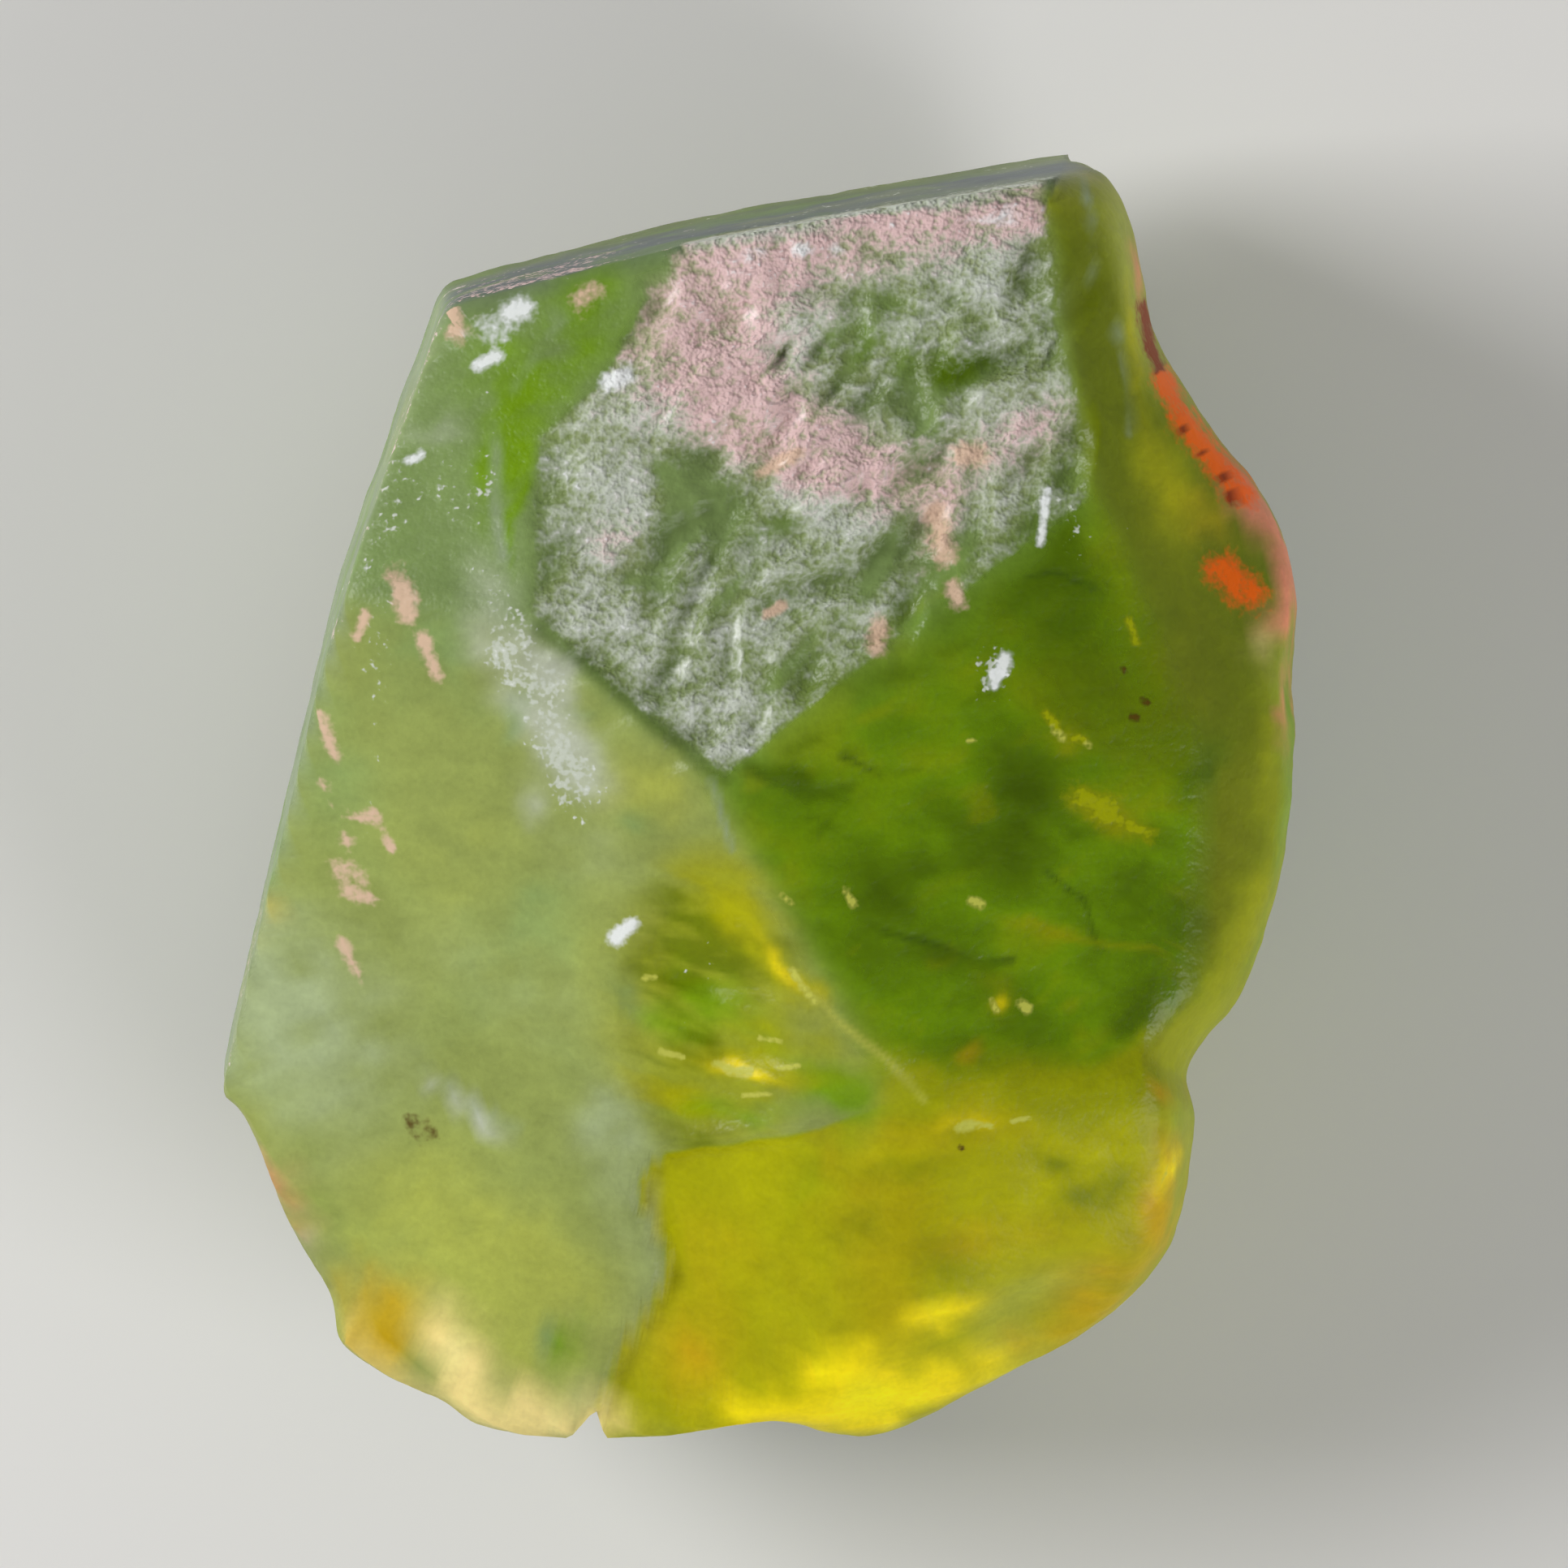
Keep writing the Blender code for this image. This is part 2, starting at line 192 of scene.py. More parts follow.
# How far noise shifts the patches and the fine lines, and the value of a place without a mark
PATCH_SHIFT = 0.45
LINE_SHIFT = 0.12
NO_MARK = -3.0

# Soft patches of the front, among them painted reflections and glints, laid over one another in this order.
# Each has X and Y of its centre, two radii, a turn in degrees and a strength
PATCHES = {
    "mist": (
        (-7.9, -4.6, 1.6, 2.4, 10, 0.7), (-2.7, -5.9, 0.9, 0.9, 0, 0.6),
        (-2.7, -8.2, 0.6, 1.6, 12, 0.25), (-4.6, -3.2, 2.2, 1.2, -40, 0.25),
        (-9.4, -3.6, 0.9, 1.6, 5, 0.7), (-3, -0.9, 1.6, 0.9, -45, 0.35),
    ),
    "straw": (
        (-5.9, -7.9, 2.4, 1.5, -20, 0.7), (-5.4, -0.9, 1.6, 1.5, 0, 0.35), (-1.9, 0, 1, 0.8, -40, 0.85),
        (-2.6, -2.9, 1, 1.3, 0, 0.5), (-4, -9.6, 1.8, 1.5, 0, 0.7), (-2.4, -4.6, 0.8, 0.6, 0, 0.5),
    ),
    "fern": (
        (-6, 5.2, 0.9, 1.2, 0, 0.8), (-6.4, 3.2, 1, 1.9, 10, 0.5), (-4.35, 4.9, 0.22, 1.5, -6, 1),
        (-5.3, 2.6, 0.6, 1.6, 10, 0.4), (-4.45, 1.45, 0.22, 0.6, -25, 0.9),
        (-3.3, 1.75, 0.7, 0.16, -5, 0.6), (-4.1, -2.2, 1.2, 1.4, -20, 0.45),
        (-7.9, 0.6, 0.9, 2, 10, 0.45), (-2.1, -0.6, 0.5, 0.3, -30, 0.6), (-5.5, -3.9, 0.9, 0.8, 0, 0.25),
        (-3.7, -9.9, 0.4, 0.3, 0, 0.9), (-2.3, -3.6, 0.5, 0.9, 30, 0.5),
    ),
    "leaf": (
        (-3.35, 8.5, 0.75, 2.3, -28, 1), (-4.6, 6.6, 0.45, 1.4, -10, 0.8),
        (-4.35, 4.9, 0.12, 1, -6, 0.6), (-5.2, 8, 0.7, 0.8, 0, 0.4), (-0.6, -3.7, 0.5, 1.2, 50, 0.6),
        (-0.8, -5.7, 1.1, 0.3, 0, 0.6), (1.4, -5.3, 0.9, 0.5, -15, 1), (-1.6, -4.1, 0.7, 0.5, -20, 0.5),
        (2.5, 8.3, 1.4, 0.9, 25, 0.5), (-3.4, -10, 0.3, 0.25, 0, 1.2),
    ),
    "moss": (
        (6.6, 1.9, 2, 1.5, -25, 0.7), (4.9, 3.5, 1.6, 0.9, 20, 0.5), (5.4, 5, 0.6, 1.4, 10, 0.5),
        (7, -3.75, 1, 0.55, 45, 0.9), (3.2, -2.9, 1.5, 0.35, -12, 0.6), (0.9, 0.25, 1.2, 0.3, -12, 0.7),
        (3.7, 7.8, 1.1, 0.5, 20, 0.9), (2, 2.1, 1.5, 0.35, 14, 0.5), (8.1, 0.4, 0.3, 0.6, -20, 0.6),
        (0.4, 4.9, 0.9, 0.3, -20, 0.5), (1.6, -1, 1.2, 0.6, 20, 0.3), (4.6, -4.2, 0.8, 0.5, 0, 0.4),
    ),
    "olive": (
        (7.9, 2.4, 1.3, 2, -15, 0.6), (5.3, 1.6, 1.2, 0.9, 0, 0.35), (1.85, -7.8, 0.7, 0.4, 0, 0.6),
        (3.3, -8.35, 0.9, 0.45, 0, 0.55), (6.1, -7.3, 1, 0.4, 20, 0.75), (5.3, -6.7, 0.6, 0.3, 0, 0.6),
        (2.6, -6.9, 1.4, 0.4, 0, 0.4), (6.6, -8.1, 0.3, 0.6, 0, 0.4),
    ),
    "lime": (
        (9.55, 1, 0.25, 2.2, 0, 0.7), (9, -2.5, 0.5, 1.4, -20, 1), (7.75, -4.4, 0.5, 0.9, -50, 1),
        (6.3, -5.4, 1.5, 0.5, 22, 0.9), (4.6, -5.3, 1.2, 0.5, 0, 0.7), (6.3, -0.3, 0.75, 0.3, -35, 1),
        (5.6, 1, 0.5, 0.4, 0, 0.5), (4.3, -3.6, 0.5, 0.6, 20, 0.6), (5.3, -2.5, 1, 0.2, -15, 0.5),
        (2.9, -5.4, 0.7, 0.6, -45, 0.9), (1.2, -4.6, 0.8, 0.6, -40, 0.6), (7.4, 5.6, 0.6, 1.4, 15, 0.7),
        (3.6, -1.6, 0.9, 0.3, 30, 0.3), (-0.6, -1.6, 0.7, 0.8, 0, 0.5),
    ),
    "gold": (
        (0.35, -3, 0.3, 1.3, 38, 1), (-0.4, -4.9, 1.5, 0.3, -12, 0.9), (-0.3, -2.2, 0.5, 0.9, 30, 0.7),
        (7.3, 6.3, 0.25, 1.6, 12, 0.5), (6.75, 8.4, 0.16, 1.3, 8, 0.7), (8, 5.1, 0.4, 0.7, 40, 0.5),
    ),
    "cream": (
        (-5.3, -10.6, 1.3, 0.6, -58, 1), (-6.5, -11, 1.5, 0.4, -28, 1), (-8.6, -8.3, 0.25, 1.2, 30, 0.6),
        (-4.3, -11.6, 1.8, 0.6, 0, 1), (-7.7, -10.2, 0.4, 0.7, 35, 0.9), (5.5, 11.6, 0.7, 0.3, -20, 0.5),
        (9.25, 2.7, 0.4, 0.6, 0, 0.6),
    ),
    "amber": (
        (-1.3, -10.3, 1.3, 0.9, 0, 0.5), (-0.9, -8.3, 0.9, 1.2, 0, 0.35), (6.1, -9.2, 1.6, 0.9, 40, 0.6),
        (4.3, -8, 1.8, 0.4, 10, 0.4), (7.4, -7.4, 0.35, 1, -15, 0.9), (-7.35, -9.6, 1.1, 0.55, -52, 1.2),
        (-6.7, -9.6, 0.9, 0.9, 0, 0.4), (7.44, -5.5, 0.35, 0.3, 0, 0.9),
        (3.9, -4.66, 0.28, 0.24, 0, 0.5), (8.3, 4.9, 0.5, 0.8, 35, 0.35), (-9.1, -2, 0.35, 1, -10, 0.35),
        (4.6, -9.9, 0.3, 0.25, 30, 0.6),
    ),
    # Painted inner reflections and glints, in bright yellow
    "glow": (
        (1.7, -10.5, 1.1, 0.5, 5, 1), (3.3, -9.4, 1, 0.3, 18, 0.7), (1.9, -11.2, 2.6, 0.45, 8, 0.8),
        (3.9, -10.5, 1.4, 0.4, 28, 0.5), (0.45, -3.1, 0.16, 0.7, 40, 0.8),
        (-0.5, -4.95, 0.7, 0.14, -16, 0.9), (3.8, -6.02, 0.6, 0.16, 5, 0.8),
        (0.6, -11.5, 1.6, 0.3, 0, 0.5), (7.6, -7.1, 0.14, 0.5, -25, 0.7),
        (4.35, -3.85, 0.25, 0.22, 0, 0.7),
    ),
    # Grey-white veil; the patch at (-5.35, -5.6) is a painted glint
    "milk_and_glint": (
        (-4.7, 3, 0.7, 1.8, 14, 0.5), (-3.75, 1.33, 0.8, 0.7, -30, 0.6), (-3, 0.5, 0.9, 0.6, -40, 0.6),
        (-3.9, 2.2, 0.7, 0.35, -50, 0.6), (-4.1, 0, 0.5, 0.4, -40, 0.5),
        (-5.35, -5.6, 0.9, 0.25, -36, 1), (-8.3, -8.3, 0.25, 0.7, 20, 0.8),
        (-2, -7.7, 0.3, 0.8, 0, 0.35), (-5.7, 6.6, 1, 0.35, 15, 0.4),
    ),
    # Pink rim of the bump; the thin patch at (9.85, 1.6) is a painted rim highlight
    "salmon_and_rim_highlight": (
        (9.75, 4, 0.3, 1, 0, 1), (9.2, 5.2, 0.4, 1.2, 35, 1), (9.85, 1.6, 0.12, 1.2, 0, 0.5),
        (9.3, 3.1, 0.3, 0.5, 30, 0.5), (-8.95, -7.4, 0.45, 1.6, 32, 0.65), (7, 9.7, 0.2, 0.8, 5, 0.6),
    ),
}

# Where the whitish crust lies thick or thin, where it is pink, and where dust and painted glints lie, in
# the same way
CRUST_PATCHES = (
    (1.8, 10.5, 4.8, 0.9, 13, 0.5), (-1.1, 8.4, 1.8, 1.9, 0, 0.5), (-2.4, 7.3, 0.8, 0.8, 0, 0.45),
    (-0.8, 9.8, 1.2, 0.8, 0, 0.35), (0.9, 7.2, 1.5, 1.4, 0, 0.16), (1.5, 6, 1.9, 0.7, -22, 0.45),
    (4.8, 6.6, 1.4, 0.5, 22, 0.45), (-3.1, 5.2, 1, 1.6, 0, 0.55), (-1.3, 2.3, 2.2, 0.8, -40, 0.12),
    (1.2, 3.3, 1.5, 1, 30, 0.04), (-0.4, 1, 0.7, 0.5, -20, 0.35), (2.7, 8.3, 1.2, 1.1, 20, -0.16),
    (3.8, 7.75, 0.9, 0.5, 20, -0.42), (3.9, 4, 1.2, 0.8, 20, -0.16), (0.2, 4.9, 1.3, 0.5, -20, -0.16),
    (-1.6, 4.4, 0.5, 0.9, -35, -0.2), (4.6, 8.6, 0.5, 1, 0, 0.16), (4.2, 10.4, 1.6, 0.7, 15, 0.4),
    (3, 6.6, 0.35, 0.8, -20, -0.3), (3.3, 3.8, 1.2, 0.22, 60, -0.6), (2.2, 4.2, 0.9, 0.18, 62, -0.45),
    (-1.6, 5.8, 0.8, 0.35, -40, -0.35), (-2.6, 3.9, 1, 0.2, -8, -0.3), (0.6, 2.4, 0.9, 0.18, 48, -0.4),
    (-0.6, 3.6, 0.8, 0.15, 50, -0.4), (1.2, 8.3, 0.9, 0.2, 55, -0.25),
)
PINK_PATCHES = (
    (1.5, 10.5, 5, 1.1, 13, 1), (-1.2, 8.4, 2, 1.9, 0, 0.95), (0.2, 6.7, 1.3, 0.8, -30, 0.9),
    (1.7, 6, 1.7, 0.8, -22, 1), (4.7, 6.5, 1.6, 0.7, 22, 0.7), (-2.6, 4.6, 0.6, 0.6, 0, 0.5),
    (3.2, 4.8, 0.35, 0.9, -15, 0.9), (-4, 10.6, 2.8, 0.7, 12, 0.9), (3.6, 3.4, 0.4, 0.5, 0, 0.6),
    (4.1, 10.7, 1.6, 0.7, 13, 0.8),
)
DUST_AND_GLINT_PATCHES = (
    (-4.4, 2.7, 0.7, 1.6, 20, 0.82), (-3.2, 0.2, 1.2, 0.6, -50, 0.72), (-3.5, 1.2, 1, 0.8, -40, 0.45),
    (-6.7, 5.6, 0.9, 1.3, 0, 0.5), (-7, 2.7, 0.6, 2.2, 0, 0.62), (-4.9, 5.4, 1, 1, 0, 0.5),
    (4.3, 2.3, 0.4, 0.7, -10, 0.9), (5.6, 4.9, 0.4, 1.4, 20, 0.66), (-1, -3.2, 1.1, 1.2, -30, 0.45),
    (-7.2, -0.6, 0.6, 1.3, 0, 0.5), (-5.3, 7.3, 1.3, 1.5, 0, 0.36), (6.6, 5.2, 0.3, 1.8, 25, 0.5),
    (-3.4, 10.95, 2.8, 0.3, 11.5, 1), (1.5, 12, 2.5, 0.25, 11.5, 0.55),
)

# Small marks of the front, among them painted glints: half a width, then X and Y of the points that each
# one runs through
STROKES = {
    # Painted white glints
    "white_glint": (
        (0.2, -4.9, 8.5, -4.3, 8.85), (0.1, -5.15, 7.8, -4.8, 8), (0.25, 4, 10.75, 4.4, 10.68),
        (0.15, -0.4, 9.65, 0.05, 9.8), (0.14, 0.73, 9.85, 0.8, 9.88), (0.12, 1.4, 10, 1.5, 10.05),
        (0.11, -2.65, -2.6, -2.3, -2.3), (0.1, 4.25, 2.05, 4.45, 2.5), (0.16, -2.75, 7.5, -2.4, 7.65),
        (0.07, 5.2, 5.5, 5.1, 4.6), (0.08, -6.4, 6.1, -6.15, 6.2), (0.07, -7, -3.45, -6.9, -3.6),
    ),
    "blush": (
        (0.15, -6.6, 4, -6.45, 3.7, -6.35, 3.3), (0.11, -6.1, 2.85, -5.85, 2.2),
        (0.09, -7.15, 3.3, -7.3, 2.9), (0.11, -8, 1.5, -7.75, 0.9, -7.9, 0.25),
        (0.09, -7.7, -0.1, -7.4, -0.45, -7.6, -0.95),
        (0.08, -7.4, -0.45, -7, -0.3, -6.9, -0.75, -6.7, -0.95), (0.19, -7.6, -1.35, -7.4, -1.65),
        (0.08, -7.3, -1.75, -6.85, -2, -6.75, -2.2), (0.09, -7.6, -2.7, -7.3, -3.2, -7, -3.5),
        (0.15, -5.65, 8.75, -5.5, 8.35), (0.17, -3.25, 9, -3, 9.15), (0.2, 3.75, 6.2, 3.95, 6.2),
        (0.11, 0, 5.85, 0.7, 6.2), (0.18, 3.2, 5.1, 3.35, 4.4), (0.14, 2.2, 3.1, 2.1, 2.7),
        (0.13, 3.5, 3.75, 3.6, 3.5), (0.08, 0.15, 3.3, 0.4, 3.45), (0.09, -6, 8.5, -5.6, 8.9, -5.5, 8.5),
    ),
    "ember": (
        (0.26, 7.75, 6.95, 8.35, 6.2, 8.85, 5.55), (0.2, 7.45, 7.7, 7.75, 6.95),
        (0.25, 8.45, 4.15, 8.65, 3.95, 8.95, 3.62), (0.08, 7.2, 8.3, 7.45, 7.7),
    ),
    "rust": (
        (0.12, 7.1, 9.05, 7.2, 8.3, 7.4, 7.8), (0.05, 7.6, 6.9, 8, 6.4, 8.6, 5.7),
        (0.06, 8.6, 5.5, 8.72, 5.25),
    ),
    "lime": (
        (0.24, 5.9, -0.05, 6.4, -0.35), (0.12, 6.4, -0.35, 7.1, -0.7), (0.07, 6.7, 3.2, 6.85, 2.8),
        (0.07, 5.2, 1.5, 5.4, 1.25), (0.07, 5.7, 1.05, 5.9, 1),
    ),
    "umber": (
        (0.15, -6.3, -6, -6.12, -6.2), (0.05, 3.66, -6.38, 3.68, -6.4), (0.05, 6.95, 1.75, 7.05, 1.7),
        (0.05, 6.6, 2.3, 6.65, 2.25), (0.05, 6.75, 1.45, 6.85, 1.42),
    ),
    # Painted glints in pale yellow
    "glint": (
        (0.08, -0.8, -4.85, -0.5, -5, -0.2, -5), (0.05, -1.8, -4.65, -1.4, -4.75),
        (0.04, 0, -4.4, 0.4, -4.45), (0.05, -2.1, -3.3, -1.9, -3.3), (0.04, 0.35, -4.95, 0.7, -4.9),
        (0.04, -0.3, -5.45, 0.2, -5.42), (0.07, 0.6, -3.2, 0.8, -3.5, 1, -3.7),
        (0.06, 1.55, -1.7, 1.7, -1.95), (0.07, 3.85, -1.9, 4, -1.95), (0.08, 4.75, -3.75, 4.85, -3.85),
        (0.05, 4.2, -3.7, 4.3, -3.9), (0.05, 0.4, -1.8, 0.6, -1.95), (0.1, 3.65, -6.02, 3.85, -5.98),
        (0.04, 3.9, -5.95, 4.2, -6), (0.04, 4.6, -5.9, 4.9, -5.85), (0.05, 7.3, -7.3, 7.6, -6.7),
        (0.04, 3.8, 1, 3.9, 1), (0.06, 5.35, 1.2, 5.5, 1.05), (0.05, 5.9, 1, 6, 0.9),
    ),
}

# Fine soft lines of the front, among them painted highlights, in the same way
LINES = {
    "deep": (
        (0.11, -4, 3, -2.7, 2, -1.2, 0.75, -0.6, 0.3), (0.09, -0.15, 0.5, 0.3, 0.2, 0.9, 0.05, 1.7, 0.2),
        (0.06, 2.25, -2.4, 3.35, -2.75, 3.95, -3, 4.6, -3), (0.05, 1.5, 0.7, 2.2, 0.4, 2.9, 0.5),
        (0.05, 4.9, 4, 5.4, 4.05, 6, 3.8), (0.05, 5.2, -1.4, 5.9, -1.9, 6.1, -2.6),
    ),
    # Painted highlights along ridges and edges, and painted glints low on the left face
    "pearl_sheen": (
        (0.05, -0.85, 0.3, -0.7, -0.2, -0.5, -0.95),
        (0.09, -3.5, 8.8, -4.3, 7.7, -4.8, 6.8, -4.75, 5.4, -4.6, 4.4),
        (0.07, -7, -3.7, -6.2, -4.8, -5.4, -5.5, -4.4, -6.1), (0.1, -5.6, -5.3, -5.1, -5.7),
        (0.05, 5.85, 11.5, 6.1, 10.4, 6.05, 9.3), (0.05, 6.5, 8.6, 6.7, 7.6, 6.75, 6.6),
    ),
    # A painted highlight along the ridge below the shell
    "glint": (
        (0.05, 0.95, -3.6, 1.35, -4, 2.2, -4.75, 3, -5.55),
    ),
    "lime": (
        (0.05, 4.9, -2.2, 5.6, -2.6, 6.4, -2.75, 7.6, -2.7),
    ),
}

# The material's noises, for each metre, and its relief in metres
FLAKE_SCALE = 2400.0
FLAKE_STRETCH = (0.55, 1.0, 1.0)
GRAIN_SCALE = 8200.0
NODE_NOISE_SWING = 2.6
BUMP_HEIGHT = 0.00018
MOST_HIDDEN = 0.95

# The stage, in metres. A sky shade stands at its height over the horizon, from 0 to 1
STONE_MIDDLE = (0.0, 0.0, 0.005)
PICTURE_MIDDLE = (0.00048, 0.00017, 0.005)
FLOOR_REACH = 0.6
FLOOR_DROP = 0.00005
FLOOR_MOTTLE_SCALE = 30.0
SKY_SHADES = ((0.4, 1.0), (0.85, 0.07))
KEY_PLACE, KEY_SIDE = (-0.17, 0.04, 0.13), 0.10
FILL_PLACE, FILL_SIDE = (0.15, -0.13, 0.12), 0.14
SENSOR_WIDTH = 36.0


def srgb(red, green, blue):
    """The linear values of a colour given in 0 to 255 display values."""
    return tuple(((c / 255.0 + 0.055) / 1.055) ** 2.4 if c > 10.3 else c / 3294.6
                 for c in (red, green, blue))


def tone(name, description, *display):
    """A colour setting with its default in 0 to 255 display values."""
    return FloatVectorProperty(name=name, description=description, subtype="COLOR",
                               default=srgb(*display), min=0.0, max=1.0)


class StoneSettings(PropertyGroup):
    """Colours and optics of the peridot."""

    haze: tone("Haze", "Milky green of the left face", 154, 167, 88)
    mist: tone("Mist", "Greyer haze near the ledge and the left rim", 170, 184, 136)
    straw: tone("Straw", "Warmer haze low on the left face", 176, 184, 82)
    fern: tone("Fern", "Soft green where the haze is thin", 136, 160, 94)
    leaf: tone("Leaf", "Clear green of the right face", 122, 162, 4)
    moss: tone("Moss", "Deep green of the thick parts", 88, 116, 0)
    olive: tone("Olive", "Brownish green near the right rim", 122, 132, 2)
    bronze: tone("Bronze", "Dark green of the bevel", 116, 130, 2)
    lime: tone("Lime", "Yellow green of the right margin", 160, 166, 4)
    gold: tone("Gold", "Yellow of the broken lower end", 174, 174, 2)
    amber: tone("Amber", "Orange yellow stain", 204, 168, 14)
    # Painted light: bright yellow inner reflections and glints
    glow: tone("Glow", "Bright yellow of the inner reflections", 255, 232, 16)
    cream: tone("Cream", "Pale rim of the lower left lip", 255, 232, 150)
    # Grey-white veil, and also a painted glint low on the left face
    milk_and_glint: tone("Milk", "Grey-white veil", 194, 200, 178)
    # Pale green, partly painted: sheen on the left side and highlights along ridges and edges
    pearl_sheen: tone("Pearl", "Pale green of the fine lines and the left side", 156, 172, 136)
    # Blue grey of the top face, partly a painted reflection of its sheen at a grazing view
    slate_and_sheen: tone("Slate", "Grey of the top face", 98, 108, 114)
    sage: tone("Sage", "Green of the underside", 116, 138, 40)
    # Pink rim of the bump, and a painted highlight along the right rim
    salmon_and_rim_highlight: tone("Salmon", "Pink rim of the right bump", 232, 146, 112)
    ember: tone("Ember", "Orange stain on the right bump", 255, 104, 8)
    rust: tone("Rust", "Dark red edge of the stain", 138, 34, 10)
    # Painted glints: pale yellow of small bright highlights
    glint: tone("Glint", "Pale yellow of the small bright flecks", 196, 198, 84)
    umber: tone("Umber", "Dark brown specks", 84, 56, 14)
    deep: tone("Deep", "Dark green of the grooves and cracks", 66, 92, 16)
    frost: tone("Frost", "Whitish crust of the etched face", 200, 206, 192)
    rose: tone("Rose", "Salmon-pink dust in the etch marks", 232, 198, 196)
    blush: tone("Blush", "Tan pink of the small crusts", 226, 192, 166)
    # Grey green under the crust, and painted shade in the hollows between its grains
    shade: tone("Shade", "Grey green between the grains of the crust", 140, 157, 96)
    # Painted glints: white of the crust's brightest grains and of small white marks
    white_glint: tone("Spark", "White of the brightest grains", 244, 247, 247)
    depth_colour: FloatVectorProperty(
        name="Depth colour", description="What the clear body lets through",
        subtype="COLOR", default=(0.80, 0.95, 0.06), min=0.0, max=1.0)
    ior: FloatProperty(
        name="Refractive index", description="How strongly the crystal bends light",
        default=1.67, min=1.0, max=2.5)
    absorption: FloatProperty(
        name="Absorption", description="Strength of the body colour, for each metre of depth",
        default=220.0, min=0.0, max=1000.0)


class StageSettings(PropertyGroup):
    """The floor, the light and the camera."""

    view_width: FloatProperty(
        name="View width", description="Width of the picture at the stone",
        default=0.02898, unit="LENGTH")
    lens: FloatProperty(
        name="Lens", description="Focal length of the camera in millimetres",
        default=420.0, min=1.0, unit="CAMERA")
    floor_colour: FloatVectorProperty(
        name="Floor", description="Colour of the floor", subtype="COLOR",
        default=(0.78, 0.77, 0.75), min=0.0, max=1.0)
    sky_strength: FloatProperty(
        name="Sky", description="Strength of the light all around", default=0.52, min=0.0)
    key_power: FloatProperty(
        name="Key", description="Power of the light on the left", default=0.36, min=0.0, unit="POWER")
    fill_power: FloatProperty(
        name="Fill", description="Power of the light on the right", default=0.26, min=0.0, unit="POWER")


def smooth_loop(points, steps):
    """A closed curve through all the points by the Catmull-Rom rule, as one array."""
    knots = np.array(points)
    before, end, after = (np.roll(knots, shift, 0)[:, None] for shift in (1, -1, -2))
    start = knots[:, None]
    t = (np.arange(steps) / steps)[None, :, None]
    curve = 0.5 * (2.0 * start + (end - before) * t
                   + (2.0 * before - 5.0 * start + 4.0 * end - after) * t ** 2
                   + (3.0 * start - before - 3.0 * end + after) * t ** 3)
    return curve.reshape(-1, 2)


def outline_reach(heading):
    """Distance of the outline from the origin in each heading, with the V of the notch cut in."""
    curve = smooth_loop(OUTLINE, OUTLINE_STEPS)
    angle = np.arctan2(curve[:, 1], curve[:, 0])
    order = np.argsort(angle)
    reach = np.interp(heading, angle[order], np.hypot(*curve[order].T), period=2.0 * math.pi)
    notch_heading = math.atan2(NOTCH_PLACE[1], NOTCH_PLACE[0])
    apart = (heading - notch_heading + math.pi) % (2.0 * math.pi) - math.pi
    bite = 1.0 - np.abs(apart) * math.hypot(*NOTCH_PLACE) / NOTCH_HALF_WIDTH
    return reach - NOTCH_DEPTH * np.clip(bite, 0.0, 1.0)


def box_lattice():
    """Unit directions over a box's surface and the quads that join them.

    Each of the six sides is a grid of lattice points (i, j, k). Points shared by two sides are
    found once, so the surface is closed. A direction is the point's place on the box, with each
    coordinate bent by a tangent so that the cells stay even, divided by its length.
    """
    corners, quads = [], []
    count = 0
    for axis in range(3):
        first, second = (axis + 1) % 3, (axis + 2) % 3
        across, along = CELLS[first], CELLS[second]
        u, v = np.meshgrid(np.arange(across + 1), np.arange(along + 1), indexing="ij")
        ids = np.arange(u.size).reshape(u.shape)
        ring = np.stack((ids[:-1, :-1], ids[1:, :-1], ids[1:, 1:], ids[:-1, 1:]), -1).reshape(-1, 4)
        for level in (0, CELLS[axis]):
            side = np.empty((u.size, 3), int)
            side[:, first], side[:, second], side[:, axis] = u.ravel(), v.ravel(), level
            corners.append(side)
            quads.append((ring if level else ring[:, ::-1]) + count)
            count += u.size
    lattice, joined = np.unique(np.vstack(corners), axis=0, return_inverse=True)
    place = lattice / np.array(CELLS) * 2.0 - 1.0
    place = np.tan(place * CELL_BEND) / math.tan(CELL_BEND) * BOX_SIDES
    return place / np.linalg.norm(place, axis=1)[:, None], joined.ravel()[np.vstack(quads)]


def plane_nearness(direction, centre, point, outward):
    """One over the distance from the centre to a plane along each direction, zero if it is missed."""
    depth = np.dot(outward, np.array(point) - centre)
    return np.clip(direction @ outward, 0.0, None) / depth


def scoop_nearness(direction, centre, place, radii, turn):
    """One over the distance to a scoop's ellipsoid, from the nearer root of its quadratic."""
    c, s = math.cos(math.radians(turn)), math.sin(math.radians(turn))
    unit = np.array(((c, s, 0.0), (-s, c, 0.0), (0.0, 0.0, 1.0))) / np.array(radii)[:, None]
    start = unit @ (centre - np.array(place))
    ray = direction @ unit.T
    a, b = (ray ** 2).sum(1), ray @ start
    inside_root = b ** 2 - a * (start @ start - 1.0)
    meets = (inside_root > 0.0) & (b < 0.0)
    distance = (-b - np.sqrt(np.where(meets, inside_root, 0.0))) / a
    return np.where(meets, 1.0 / np.where(meets, distance, 1.0), 0.0)


def sloped(slope):
    """Unit upward normal of a surface with that rise toward +X and +Y."""
    normal = np.array((-slope[0], -slope[1], 1.0))
    return normal / np.linalg.norm(normal)


def headed(heading, tip):
    """Unit direction from a heading in the XY plane and a tip above it, in degrees."""
    turn, lift = math.radians(heading), math.radians(tip)
    return np.array((math.cos(lift) * math.cos(turn), math.cos(lift) * math.sin(turn), math.sin(lift)))


